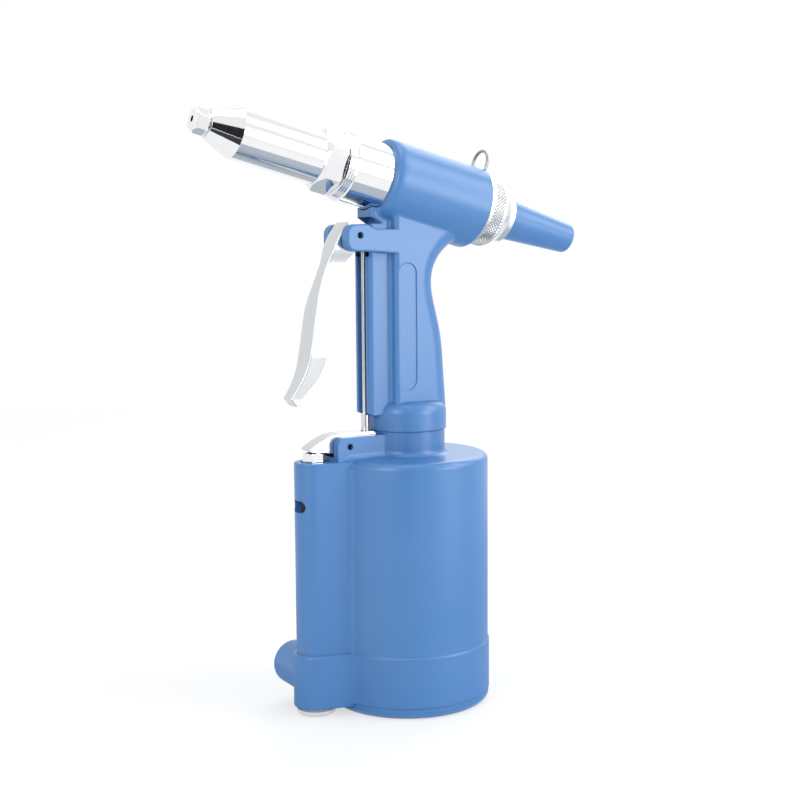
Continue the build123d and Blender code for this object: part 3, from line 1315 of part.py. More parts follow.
def make_pull_rod():
    """Rod down the channel of the grip, with an eye for the link pin."""
    neck_z = TRIGGER_PIN_Z - EYE_NECK
    end_z = pull_nut_top() - PULL_NUT_H - PULL_END
    shoulder_z = RIB_FOOT_Z + PULL_SHOULDER
    shaft = Pos(PULL_X, 0, 0) * upright([
        (0, end_z),
        (PULL_R - 0.4, end_z),
        (PULL_R, end_z + 0.4),
        (PULL_R, shoulder_z - (PULL_R - PULL_SHAFT_R)),
        (PULL_SHAFT_R, shoulder_z),
        (PULL_SHAFT_R, neck_z),
        (0, neck_z),
    ])
    eye = side_plate(Plane.XZ * Pos(PULL_X, TRIGGER_PIN_Z) * Circle(EYE_R), EYE_HALF_W)
    web = block(PULL_X - PULL_SHAFT_R, PULL_X + PULL_SHAFT_R, EYE_HALF_W, neck_z - PULL_R, TRIGGER_PIN_Z)
    slot_r = LINK_PIN_R + LINK_PLAY
    slot = Plane.XZ * Pos(PULL_X + LINK_SLOT / 2, TRIGGER_PIN_Z) * SlotCenterToCenter(LINK_SLOT, 2 * slot_r)
    return shaft + eye + web - side_plate(slot, EYE_HALF_W + 1)


def pull_nut_top():
    """Height of the crown of the nut, just below the top wall of the lever."""
    return LEVER_PIN_Z + LEVER_CROWN - LEVER_WALL - NUT_PLAY


def make_pull_nut():
    """Crowned nut below the lever's fork."""
    top = pull_nut_top()
    low = top - PULL_NUT_H
    nut = upright([
        (PULL_R + RUN, low),
        (PULL_NUT_R, low),
        (PULL_NUT_R, top - PULL_NUT_CROWN),
        (PULL_R + RUN, top),
    ])
    return Pos(PULL_X, 0, 0) * nut


def make_valve_lever():
    """Pressed rocking lever: a channel that is open below, forked at the rod."""
    top = Polyline(*points_xz(LEVER_TOP))
    low = Polyline(top @ 1, *points_xz(LEVER_LOW), top @ 0)
    outer = side_plate(make_face([*top.edges(), *low.edges()]), LEVER_HALF_W)
    inner_top = [(x, z - LEVER_WALL) for x, z in LEVER_TOP]
    ceiling = Polyline(*points_xz(inner_top))
    floor_z = LEVER_PIN_Z - 2 * LEVER_CROWN
    around = Polyline(
        ceiling @ 1,
        (LEVER_TOP[-1][0], 0, floor_z),
        (LEVER_TOP[0][0] - 1, 0, floor_z),
        (LEVER_TOP[0][0] - 1, 0, LEVER_TOP[1][1] - LEVER_WALL),
        ceiling @ 0,
    )
    inner = side_plate(make_face([*ceiling.edges(), *around.edges()]), LEVER_HALF_W - LEVER_WALL)
    fork = block(LEVER_TOP[0][0] - 1, PULL_X + FORK_DEPTH, PULL_R + FORK_PLAY,
                 LEVER_PIN_Z, LEVER_TOP[1][1] + 1)
    hole = cross_pin(LEVER_PIN_R + RUN, LEVER_HALF_W + 1, LEVER_PIN_X, LEVER_PIN_Z)
    return outer - inner - fork - hole


def make_lever_pin():
    """Pin through the bracket on which the lever rocks."""
    return cross_pin(LEVER_PIN_R, BRACKET_HALF_W - PIN_SINK, LEVER_PIN_X, LEVER_PIN_Z)


def make_button():
    """Hexagonal button of the valve, below the outer end of the lever."""
    low = BUTTON_TOP_Z - BUTTON_H
    button = hex_post(BUTTON_ACROSS, low, BUTTON_TOP_Z, VALVE_X)
    corner = BUTTON_ACROSS / math.sqrt(3)
    crown = upright([
        (0, low),
        (corner, low),
        (corner, BUTTON_TOP_Z - BUTTON_EDGE),
        (corner - 1.5 * BUTTON_EDGE, BUTTON_TOP_Z),
        (0, BUTTON_TOP_Z),
    ])
    return button & (Pos(VALVE_X, 0, 0) * crown)


def make_stem():
    """Valve stem with its lands, from the spring up to the button."""
    top = BUTTON_TOP_Z - BUTTON_H
    body = post(STEM_R, STEM_LOW_Z, top, VALVE_X)
    foot = post(SLEEVE_R, STEM_LOW_Z, STEM_LOW_Z + STEM_FOOT_H, VALVE_X)
    body += foot
    for low in STEM_LANDS:
        land = post(SLEEVE_R - RUN, low, low + STEM_LAND_H, VALVE_X)
        middle = low + STEM_LAND_H / 2
        half = STEM_RING_W / 2 + SEAT
        groove = Pos(VALVE_X, 0, 0) * ring(SLEEVE_R + 1, STEM_R, middle - half, middle + half)
        body += land - groove
    return body


def make_stem_rings():
    """Sealing rings in the lands of the stem."""
    seals = []
    for low in STEM_LANDS:
        middle = low + STEM_LAND_H / 2
        half = STEM_RING_W / 2
        seals.append(Pos(VALVE_X, 0, 0) * ring(SLEEVE_R - RUN, STEM_R + RUN, middle - half, middle + half))
    return Compound(seals)


def make_valve_sleeve():
    """Brass sleeve in the valve bore, with cross holes at its ports."""
    sleeve = Pos(VALVE_X, 0, 0) * ring(VALVE_BORE_R - RUN, SLEEVE_R, SLEEVE_LOW_Z, SLEEVE_TOP_Z)
    for low in STEM_LANDS[:-1]:
        height = low + 2 * STEM_LAND_H
        sleeve -= cross_pin(SLEEVE_CROSS_R, VALVE_BORE_R + 1, VALVE_X, height)
    return sleeve


def make_valve_spring():
    """Spring between the plug and the stem."""
    start = VALVE_FOOT_Z + PLUG_STUD_H + SEAT
    radius = SLEEVE_R - SPRING_SEAT_WIRE / 2
    spring = coil(radius, SPRING_SEAT_WIRE, start, STEM_LOW_Z - SEAT, SPRING_SEAT_TURNS)
    return Pos(VALVE_X, 0, 0) * Rot(0, -90, 0) * spring


def make_valve_plug():
    """Plug that closes the valve bore from below, with a hexagon socket."""
    plug = upright([
        (0, PLUG_FOOT_Z),
        (PLUG_R - PLUG_EDGE, PLUG_FOOT_Z),
        (PLUG_R, PLUG_FOOT_Z + PLUG_EDGE),
        (PLUG_R, VALVE_FOOT_Z - SEAT),
        (PLUG_STUD_R, VALVE_FOOT_Z - SEAT),
        (PLUG_STUD_R, VALVE_FOOT_Z + PLUG_STUD_H),
        (0, VALVE_FOOT_Z + PLUG_STUD_H),
    ])
    socket = hex_post(PLUG_KEY_ACROSS, PLUG_FOOT_Z - 1, VALVE_FOOT_Z)
    return Pos(VALVE_X, 0, 0) * (plug - socket)


def make_silencer():
    """Porous sleeve behind the exhaust slot."""
    outer_r = VALVE_BORE_R - RUN
    low = SLOT_Z - SILENCER_H / 2
    return Pos(VALVE_X, 0, 0) * ring(outer_r, outer_r - SILENCER_WALL, low, low + SILENCER_H)


def make_inlet_bush():
    """Threaded steel bush of the air inlet, with a flange."""
    end_y = -INLET_L - INLET_BUSH_OUT
    bush = Pos(VALVE_X, end_y, INLET_Z) * Rot(-90, 0, 0) * ring(INLET_BUSH_R, INLET_THREAD_R, 0, INLET_BUSH_L)
    return bush


NODES = {
    "handle_casting": make_handle,
    "air_cylinder": make_air_cylinder,
    "base_cap": make_base_cap,
    "base_cap_ring": make_cap_ring,
    "air_piston": make_air_piston,
    "air_piston_seal": make_air_piston_seal,
    "piston_rod": make_piston_rod,
    "piston_nut": make_piston_nut,
    "piston_washer": make_piston_washer,
    "neck_ring_nut": make_ring_nut,
    "gland_bush": make_gland,
    "gland_seal": make_gland_seal,
    "oil_screw": make_oil_screw,
    "oil_screw_washer": make_oil_washer,
    "head_cylinder": make_head_cylinder,
    "head_rings": make_head_rings,
    "front_seal": make_front_seal,
    "guide_bush": make_guide_bush,
    "draw_rod": make_draw_rod,
    "draw_rod_seal": make_draw_rod_seal,
    "return_spring": make_return_spring,
    "jaw_case": make_jaw_case,
    "jaw_pusher": make_jaw_pusher,
    "jaw_spring": make_jaw_spring,
    "nose_sleeve": make_nose_sleeve,
    "lock_nut": make_lock_nut,
    "nosepiece": make_nosepiece,
    "rear_cap": make_rear_cap,
    "hanger": make_hanger,
    "mandrel_catcher": make_catcher,
    "catcher_ring": make_catcher_ring,
    "trigger": make_trigger,
    "trigger_pin": make_trigger_pin,
    "link_pin": make_link_pin,
    "pull_rod": make_pull_rod,
    "pull_rod_nut": make_pull_nut,
    "valve_lever": make_valve_lever,
    "lever_pin": make_lever_pin,
    "valve_button": make_button,
    "valve_stem": make_stem,
    "stem_rings": make_stem_rings,
    "valve_sleeve": make_valve_sleeve,
    "valve_spring": make_valve_spring,
    "valve_plug": make_valve_plug,
    "exhaust_silencer": make_silencer,
    "inlet_bush": make_inlet_bush,
}

for name, make in NODES.items():
    export_step(make(), f"parts/{name}.step")

for number, jaw in enumerate(make_jaws(), start=1):
    export_step(jaw, f"parts/jaw_{number}.step")
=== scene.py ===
"""A pneumatic riveter, dressed for its portrait.

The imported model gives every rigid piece. This script gives each of them the
finish of the real one, adds the knurl and the threads that are too fine for the
solids, and sets up a plain pale studio with the camera where the photographer
stood.
"""

from __future__ import annotations

import logging
import math
from dataclasses import dataclass, field
from enum import Enum
from typing import Any

import bmesh
import bpy
from mathutils import Matrix, Vector

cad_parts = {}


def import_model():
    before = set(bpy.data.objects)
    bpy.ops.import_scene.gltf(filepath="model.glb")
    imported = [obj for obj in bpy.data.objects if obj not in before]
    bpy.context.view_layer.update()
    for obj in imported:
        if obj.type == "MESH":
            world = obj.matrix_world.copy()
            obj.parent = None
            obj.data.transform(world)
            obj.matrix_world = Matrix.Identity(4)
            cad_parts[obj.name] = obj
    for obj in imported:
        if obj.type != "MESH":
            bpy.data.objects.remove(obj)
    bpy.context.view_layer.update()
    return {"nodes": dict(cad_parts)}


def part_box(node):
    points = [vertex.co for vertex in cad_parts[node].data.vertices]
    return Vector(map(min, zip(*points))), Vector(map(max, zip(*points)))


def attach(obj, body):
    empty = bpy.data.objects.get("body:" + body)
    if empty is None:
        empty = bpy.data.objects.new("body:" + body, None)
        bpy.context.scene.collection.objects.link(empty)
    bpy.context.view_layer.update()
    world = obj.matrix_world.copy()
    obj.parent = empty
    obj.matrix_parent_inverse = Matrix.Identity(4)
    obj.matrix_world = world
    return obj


LOG = logging.getLogger("riveter")
MM = 0.001
FULL_TURN = 2 * math.pi
BARREL_TILT_DEG = 14.5
MERGE_MM = 0.001


def linear(hex_colour: str) -> tuple[float, float, float, float]:
    """Turn an sRGB hex colour into the linear values that shaders take.

    Args:
        hex_colour: Six hex digits, with or without a leading hash.

    Returns:
        Red, green, blue and an alpha of one.
    """
    digits = hex_colour.lstrip("#")
    channels = []
    for start in (0, 2, 4):
        value = int(digits[start:start + 2], 16) / 255
        low = value <= 0.04045
        channels.append(value / 12.92 if low else ((value + 0.055) / 1.055) ** 2.4)
    return (channels[0], channels[1], channels[2], 1.0)


def add_node(
    tree: bpy.types.NodeTree,
    kind: str,
    settings: dict[str, Any] | None = None,
    links: dict[str | int, bpy.types.NodeSocket] | None = None,
) -> bpy.types.Node:
    """Add one node with its settings and what feeds it.

    Args:
        tree: The node tree that the node joins.
        kind: Blender's name of the node type.
        settings: Values by input name, input number or property name.
        links: Output sockets by the input name or number that they feed.

    Returns:
        The new node.
    """
    node = tree.nodes.new(kind)
    for name, value in (settings or {}).items():
        if isinstance(name, int) or name in node.inputs:
            node.inputs[name].default_value = value
        else:
            setattr(node, name, value)
    for name, socket in (links or {}).items():
        tree.links.new(socket, node.inputs[name])
    return node


def new_material(
    name: str,
) -> tuple[bpy.types.Material, bpy.types.Node, bpy.types.Node]:
    """Start a node material.

    Args:
        name: The name of the finish.

    Returns:
        The material, its shader node and its texture coordinate node.
    """
    material = bpy.data.materials.new(name)
    material.use_nodes = True
    shader = material.node_tree.nodes["Principled BSDF"]
    place = add_node(material.node_tree, "ShaderNodeTexCoord")
    return material, shader, place


class Axis(Enum):
    """The line that a turned piece was turned about, as the turn that lays it on X."""

    BARREL = (0.0, math.radians(BARREL_TILT_DEG), 0.0)
    UPRIGHT = (0.0, math.radians(90.0), 0.0)
    ACROSS = (0.0, 0.0, math.radians(90.0))


@dataclass(frozen=True)
class Enamel:
    """Stoved enamel sprayed on aluminium castings.

    A smooth semi-gloss coat. It rounds every edge a little, and its skin has the
    faint ripple of sprayed paint, so highlights are soft but clear.
    """

    name: str = "stoved_blue_enamel"
    colour: str = "#467BB5"
    shade: str = "#4075AF"
    roughness: float = 0.33
    gloss_less: float = 0.03
    gloss_more: float = 0.04
    ior: float = 1.57
    edge_mm: float = 0.7
    ripple_mm: float = 4.0
    ripple_depth_mm: float = 0.008
    ripple_strength: float = 0.6
    drift_mm: float = 45.0

    def material(self) -> bpy.types.Material:
        """Build the enamel with its colour drift, ripple and softened edges."""
        material, shader, place = new_material(self.name)
        tree = material.node_tree
        drift = add_node(
            tree,
            "ShaderNodeTexNoise",
            {"Scale": 1 / (self.drift_mm * MM), "Detail": 1.0},
            {"Vector": place.outputs["Object"]},
        )
        tint = add_node(
            tree,
            "ShaderNodeMix",
            {"data_type": "RGBA", 6: linear(self.shade), 7: linear(self.colour)},
            {0: drift.outputs["Fac"]},
        )
        ripple = add_node(
            tree,
            "ShaderNodeTexNoise",
            {"Scale": 1 / (self.ripple_mm * MM), "Detail": 0.0},
            {"Vector": place.outputs["Object"]},
        )
        gloss = add_node(
            tree,
            "ShaderNodeMapRange",
            {
                "To Min": self.roughness - self.gloss_less,
                "To Max": self.roughness + self.gloss_more,
            },
            {"Value": drift.outputs["Fac"]},
        )
        soft_edge = add_node(
            tree, "ShaderNodeBevel", {"samples": 6, "Radius": self.edge_mm * MM}
        )
        skin = add_node(
            tree,
            "ShaderNodeBump",
            {"Strength": self.ripple_strength, "Distance": self.ripple_depth_mm * MM},
            {"Height": ripple.outputs["Fac"], "Normal": soft_edge.outputs["Normal"]},
        )
        tree.links.new(tint.outputs[2], shader.inputs["Base Color"])
        tree.links.new(gloss.outputs["Result"], shader.inputs["Roughness"])
        tree.links.new(skin.outputs["Normal"], shader.inputs["Normal"])
        shader.inputs["IOR"].default_value = self.ior
        return material


@dataclass(frozen=True)
class Metal:
    """A bare or plated metal with the marks that its making left.

    The marks are fine rings where it was turned or ground about an axis. They
    are drawn coarser than real tool marks, so that they still show as a sheen.
    """

    name: str
    colour: str
    roughness: float
    axis: Axis = Axis.BARREL
    mark_mm: float = 0.45
    mark_depth_mm: float = 0.003
    mottle_mm: float = 6.0
    spread: float = 0.04
    edge_mm: float = 0.25
    groove_shade: float = 0.9
    mark_strength: float = 0.5
    smoothest: float = 0.02
    round_scale: float = 30.0

    def material(self) -> bpy.types.Material:
        """Build the metal with its turning marks and uneven polish."""
        material, shader, place = new_material(self.name)
        tree = material.node_tree
        aligned = add_node(
            tree,
            "ShaderNodeMapping",
            {"Rotation": self.axis.value},
            {"Vector": place.outputs["Object"]},
        )
        stretched = add_node(
            tree,
            "ShaderNodeMapping",
            {"Scale": (1 / (self.mark_mm * MM), self.round_scale, self.round_scale)},
            {"Vector": aligned.outputs["Vector"]},
        )
        rings = add_node(
            tree,
            "ShaderNodeTexNoise",
            {"Scale": 1.0, "Detail": 3.0, "Roughness": 0.6},
            {"Vector": stretched.outputs["Vector"]},
        )
        mottle = add_node(
            tree,
            "ShaderNodeTexNoise",
            {"Scale": 1 / (self.mottle_mm * MM), "Detail": 3.0},
            {"Vector": place.outputs["Object"]},
        )
        polish = add_node(
            tree,
            "ShaderNodeMapRange",
            {
                "To Min": max(self.smoothest, self.roughness - self.spread),
                "To Max": self.roughness + self.spread,
            },
            {"Value": mottle.outputs["Fac"]},
        )
        pale = linear(self.colour)
        darker = (*(self.groove_shade * channel for channel in pale[:3]), 1.0)
        tint = add_node(
            tree,
            "ShaderNodeMix",
            {"data_type": "RGBA", 6: darker, 7: pale},
            {0: rings.outputs["Fac"]},
        )
        marks = add_node(
            tree,
            "ShaderNodeBump",
            {"Strength": self.mark_strength, "Distance": self.mark_depth_mm * MM},
            {"Height": rings.outputs["Fac"]},
        )
        if self.edge_mm:
            soft_edge = add_node(
                tree, "ShaderNodeBevel", {"samples": 4, "Radius": self.edge_mm * MM}
            )
            tree.links.new(soft_edge.outputs["Normal"], marks.inputs["Normal"])
        tree.links.new(tint.outputs[2], shader.inputs["Base Color"])
        tree.links.new(polish.outputs["Result"], shader.inputs["Roughness"])
        tree.links.new(marks.outputs["Normal"], shader.inputs["Normal"])
        shader.inputs["Metallic"].default_value = 1.0
        return material


@dataclass(frozen=True)
class Rubber:
    """Black nitrile rubber of the moulded seals, matt with a faint bloom."""

    name: str = "black_nitrile_rubber"
    colour: str = "#1B1C1E"
    bloom: str = "#2B2C2E"
    grain_mm: float = 0.8
    grain_depth_mm: float = 0.02
    roughness: float = 0.62

    def material(self) -> bpy.types.Material:
        """Build the rubber with its bloom and moulded grain."""
        material, shader, place = new_material(self.name)
        tree = material.node_tree
        grain = add_node(
            tree,
            "ShaderNodeTexNoise",
            {"Scale": 1 / (self.grain_mm * MM), "Detail": 4.0},
            {"Vector": place.outputs["Object"]},
        )
        tint = add_node(
            tree,
            "ShaderNodeMix",
            {"data_type": "RGBA", 6: linear(self.colour), 7: linear(self.bloom)},
            {0: grain.outputs["Fac"]},
        )
        skin = add_node(
            tree,
            "ShaderNodeBump",
            {"Strength": 0.3, "Distance": self.grain_depth_mm * MM},
            {"Height": grain.outputs["Fac"]},
        )
        tree.links.new(tint.outputs[2], shader.inputs["Base Color"])
        tree.links.new(skin.outputs["Normal"], shader.inputs["Normal"])
        shader.inputs["Roughness"].default_value = self.roughness
        return material


@dataclass(frozen=True)
class SinteredBronze:
    """Porous bronze of the silencer, pressed from small beads, with painted shade in the pores
    between them.
    """

    name: str = "sintered_bronze"
    colour: str = "#5E4A32"
    pore_shade: str = "#1E1812"
    bead_mm: float = 0.5
    bead_depth_mm: float = 0.15
    roughness: float = 0.5

    def material(self) -> bpy.types.Material:
        """Build the bronze with its beads and the painted shade of its pores."""
        material, shader, place = new_material(self.name)
        tree = material.node_tree
        beads = add_node(
            tree,
            "ShaderNodeTexVoronoi",
            {"Scale": 1 / (self.bead_mm * MM)},
            {"Vector": place.outputs["Object"]},
        )
        # Painted shade: the pores between the beads are drawn dark where shade would fall.
        tint = add_node(
            tree,
            "ShaderNodeMix",
            {"data_type": "RGBA", 6: linear(self.colour), 7: linear(self.pore_shade)},
            {0: beads.outputs["Distance"]},
        )
        lumps = add_node(
            tree,
            "ShaderNodeBump",
            {"Strength": 0.8, "Distance": self.bead_depth_mm * MM, "invert": True},
            {"Height": beads.outputs["Distance"]},
        )
        tree.links.new(tint.outputs[2], shader.inputs["Base Color"])
        tree.links.new(lumps.outputs["Normal"], shader.inputs["Normal"])
        shader.inputs["Metallic"].default_value = 1.0
        shader.inputs["Roughness"].default_value = self.roughness
        return material


class Finish(Enum):
    """The finishes of the tool, each with the maker of its material."""

    # Mid-blue stoved enamel: even colour, soft highlights, rounded edges.
    ENAMEL = Enamel()
    # Bright chrome plate on turned steel: mirror-like, with a faint polish.
    CHROME = Metal("bright_chrome_plate", "#F1F2F4", 0.07, mark_depth_mm=0.0008, spread=0.02)
    # The same plate on pressed steel, where no lathe left rings.
    PRESSED_CHROME = Metal(
        "chrome_plate_on_pressed_steel", "#D6D9DD", 0.26, Axis.ACROSS, 2.5, 0.001, spread=0.03
    )
    # Zinc-plated and ground steel of the rod, pins and nuts: bright but satin.
    BRIGHT_STEEL = Metal("bright_zinc_plated_steel", "#DDDFE2", 0.17, Axis.UPRIGHT)
    # The same steel where the piece lies along the barrel.
    BARREL_STEEL = Metal("ground_steel_rod", "#C2C4C6", 0.22, Axis.BARREL)
    # Turned aluminium: pale and satin, with the rings of the lathe tool.
    ALUMINIUM = Metal(
        "turned_aluminium", "#F0F1F2", 0.24, Axis.BARREL, 0.5, 0.006, mottle_mm=9.0, edge_mm=0.3
    )
    # The same aluminium where the piece stands upright.
    UPRIGHT_ALUMINIUM = Metal("turned_aluminium_upright", "#E1E2E4", 0.26, Axis.UPRIGHT, 0.5, 0.006)
    # The knurled band of the cap: the same metal, left with the crisp edges of
    # the knurling wheel, so that each tooth shows a light and a dark side. Its
    # teeth are drawn a little coarser than real ones, so that they show.
    KNURLED = Metal("knurled_aluminium", "#E6E7E9", 0.2, Axis.BARREL, 0.5, 0.002, edge_mm=0.0)
    # Chemically blackened steel of the pins: nearly black with a dull shine.
    BLACKENED = Metal("blackened_steel", "#2E3034", 0.38, Axis.ACROSS, 0.6, 0.002)
    # Hardened and blackened steel of the jaw set.
    HARDENED = Metal("hardened_blackened_steel", "#5C5C5F", 0.34, Axis.BARREL)
    # Oil-tempered spring wire: dark straw grey.
    SPRING = Metal("oil_tempered_spring_wire", "#77787B", 0.3, Axis.BARREL, mark_mm=1.2)
    # Galvanised wire of the hanger: light grey with a dull sheen.
    WIRE = Metal("galvanised_wire", "#9C9FA3", 0.32, Axis.BARREL, mark_mm=1.2)
    # Turned bronze and brass of the bushes: warm, satin.
    BRONZE = Metal("turned_bronze", "#B98F55", 0.28, Axis.BARREL)
    # Pressed bronze beads of the silencer.
    SINTERED = SinteredBronze()
    # Moulded seals.
    RUBBER = Rubber()


class Palette:
    """Hands out each finish's material, made once when it is first asked for."""

    def __init__(self) -> None:
        """Start with no material made."""
        self._made: dict[Finish, bpy.types.Material] = {}

    def material(self, finish: Finish) -> bpy.types.Material:
        """Return the material of a finish."""
        if finish not in self._made:
            self._made[finish] = finish.value.material()
            LOG.info("finish %s", finish.value.name)
        return self._made[finish]

    def dress(
        self, nodes: dict[str, bpy.types.Object], finish: Finish, names: tuple[str, ...]
    ) -> None:
        """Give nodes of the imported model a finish.

        Args:
            nodes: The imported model's objects by name.
            finish: The finish that they get.
            names: The nodes to dress.
        """
        for name in names:
            slots = nodes[name].data.materials
            slots.clear()
            slots.append(self.material(finish))


def finished_piece(
    name: str,
    mesh: bmesh.types.BMesh,
    material: bpy.types.Material,
    body: str,
    smooth: bool = True,
) -> bpy.types.Object:
    """Turn a finished bmesh into a piece that rides on a body.

    Args:
        name: The piece's name.
        mesh: The bmesh, in metres and in place, which is freed.
        material: The piece's material.
        body: The body that carries the piece.
        smooth: Whether its faces are shaded smooth.

    Returns:
        The object, at the origin.
    """
    bmesh.ops.remove_doubles(mesh, verts=mesh.verts, dist=MERGE_MM * MM)
    bmesh.ops.recalc_face_normals(mesh, faces=mesh.faces)
    data = bpy.data.meshes.new(name)
    mesh.to_mesh(data)
    mesh.free()
    for polygon in data.polygons:
        polygon.use_smooth = smooth
    data.materials.append(material)
    piece = bpy.data.objects.new(name, data)
    bpy.context.scene.collection.objects.link(piece)
    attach(piece, body)
    LOG.info("piece %s: %d faces on %s", name, len(data.polygons), body)
    return piece


@dataclass(frozen=True)
class BarrelLine:
    """The tilted axis of the barrel, which stations are measured along."""

    tilt_deg: float = BARREL_TILT_DEG
    height_mm: float = 265.92

    def place(self) -> Matrix:
        """Return the move that lays a shape made along X on the barrel axis."""
        tilt = Matrix.Rotation(math.radians(-self.tilt_deg), 4, "Y")
        return Matrix.Translation((0.0, 0.0, self.height_mm * MM)) @ tilt


@dataclass
class Castings:
    """The enamelled castings: handle, air cylinder, base cap and catcher."""

    palette: Palette
    nodes: dict[str, bpy.types.Object]
    enamelled: tuple[str, ...] = ("handle_casting", "air_cylinder", "base_cap", "mandrel_catcher")

    def build(self) -> None:
        """Dress the castings."""
        self.palette.dress(self.nodes, Finish.ENAMEL, self.enamelled)
        LOG.info("castings dressed")


@dataclass
class NoseGear:
    """The chromed head, lock nut, nose sleeve and nosepiece."""

    palette: Palette
    nodes: dict[str, bpy.types.Object]
    chromed: tuple[str, ...] = ("head_cylinder", "lock_nut", "nose_sleeve", "nosepiece")

    def build(self) -> None:
        """Dress the nose gear."""
        self.palette.dress(self.nodes, Finish.CHROME, self.chromed)
        LOG.info("nose gear dressed")


@dataclass
class RearCap:
    """The turned rear cap with its knurled grip band, and the hanger behind it."""

    palette: Palette
    nodes: dict[str, bpy.types.Object]
    line: BarrelLine
    start_mm: float = -44.7
    end_mm: float = -51.8
    radius_mm: float = 17.42
    tooth_mm: float = 0.6
    seat_mm: float = 0.5
    teeth: int = 64
    rows: int = 8

    def build(self) -> None:
        """Dress the cap and hanger and cut the knurl."""
        self.palette.dress(self.nodes, Finish.ALUMINIUM, ("rear_cap",))
        self.palette.dress(self.nodes, Finish.WIRE, ("hanger",))
        self.knurl()

    def knurl(self) -> bpy.types.Object:
        """Cut the diamond knurl: a ring of low four-sided teeth round the cap.

        Returns:
            The knurled band.
        """
        mesh = bmesh.new()
        pitch = (self.end_mm - self.start_mm) / self.rows * MM
        first = Vector((self.start_mm * MM, 0.0, self.radius_mm * MM))
        column = [
            mesh.verts.new(first + Vector((row * pitch, 0, 0))) for row in range(self.rows + 1)
        ]
        edges = [mesh.edges.new(pair) for pair in zip(column, column[1:])]
        bmesh.ops.spin(
            mesh, geom=column + edges, cent=(0, 0, 0), axis=(1, 0, 0), dvec=(0, 0, 0),
            angle=FULL_TURN, steps=2 * self.teeth, use_merge=True, use_duplicate=False,
        )
        half_step = FULL_TURN / (2 * self.teeth)
        lows = []
        for vert in mesh.verts:
            row = round((vert.co.x - first.x) / pitch)
            turn = round(math.atan2(vert.co.y, vert.co.z) / half_step)
            if 0 < row < self.rows and (row + turn) % 2:
                reach = 1 + self.tooth_mm / self.radius_mm
                vert.co = Vector((vert.co.x, vert.co.y * reach, vert.co.z * reach))
            else:
                lows.append(vert)
        low_set = set(lows)
        for face in list(mesh.faces):
            pair = [vert for vert in face.verts if vert in low_set]
            if len(pair) == 2:
                bmesh.ops.connect_verts(mesh, verts=pair)
        rims = [edge for edge in mesh.edges if edge.is_boundary]
        sunk = bmesh.ops.extrude_edge_only(mesh, edges=rims)["geom"]
        shrink = 1 - self.seat_mm / self.radius_mm
        for vert in (item for item in sunk if isinstance(item, bmesh.types.BMVert)):
            vert.co = Vector((vert.co.x, vert.co.y * shrink, vert.co.z * shrink))
        inner = [item for item in sunk if isinstance(item, bmesh.types.BMEdge)]
        bmesh.ops.bridge_loops(mesh, edges=inner)
        bmesh.ops.transform(mesh, matrix=self.line.place(), verts=mesh.verts)
        return finished_piece(
            "cap_knurl", mesh, self.palette.material(Finish.KNURLED), "frame",
            smooth=False,
        )


@dataclass(frozen=True)
class Thread:
    """One screw thread, wound about X from a tooth with a flat crest."""

    name: str
    radius_mm: float
    start_mm: float
    length_mm: float
    pitch_mm: float
    depth_mm: float
    inwards: bool = False
    steps_a_turn: int = 40
    foot_share: float = 0.46
    crest_share: float = 0.25
    sunk_mm: float = 0.12

    def mesh(self) -> bmesh.types.BMesh:
        """Wind the tooth along the thread, from one closed end to the other.

        Returns:
            The thread about X, in metres.
        """
        mesh = bmesh.new()
        half = self.pitch_mm * self.foot_share
        flat = half * self.crest_share
        side = -1 if self.inwards else 1
        root = self.radius_mm - side * self.sunk_mm
        crest = self.radius_mm + side * self.depth_mm
        corners = [(-half, root), (-flat, crest), (flat, crest), (half, root)]
        start = self.start_mm + half
        verts = [mesh.verts.new(((start + x) * MM, 0.0, r * MM)) for x, r in corners]
        face = mesh.faces.new(verts)
        turns = (self.length_mm - 2 * half) / self.pitch_mm
        bmesh.ops.spin(
            mesh, geom=[face, *face.verts, *face.edges], cent=(0, 0, 0), axis=(1, 0, 0),
            dvec=(self.pitch_mm * MM / self.steps_a_turn, 0, 0), angle=turns * FULL_TURN,
            steps=round(turns * self.steps_a_turn), use_merge=False, use_duplicate=False,
        )
        return mesh


@dataclass
class TriggerGear:
    """Trigger, pull rod and the lever that presses the valve."""

    palette: Palette
    nodes: dict[str, bpy.types.Object]
    pull_x_mm: float = 24.5
    rod_thread: Thread = Thread("pull_rod_thread", 2.2, 141.5, 3.6, 0.7, 0.08)

    def build(self) -> None:
        """Dress the linkage and cut the thread of the pull rod."""
        self.palette.dress(self.nodes, Finish.PRESSED_CHROME, ("trigger", "valve_lever"))
        self.palette.dress(self.nodes, Finish.BRIGHT_STEEL, ("pull_rod", "pull_rod_nut"))
        self.palette.dress(self.nodes, Finish.BLACKENED, ("trigger_pin", "link_pin", "lever_pin"))
        mesh = self.rod_thread.mesh()
        place = Matrix.Translation((self.pull_x_mm * MM, 0, 0))
        upright = place @ Matrix.Rotation(-math.pi / 2, 4, "Y")
        bmesh.ops.transform(mesh, matrix=upright, verts=mesh.verts)
        finished_piece(
            self.rod_thread.name, mesh, self.palette.material(Finish.BRIGHT_STEEL), "pull_rod",
        )


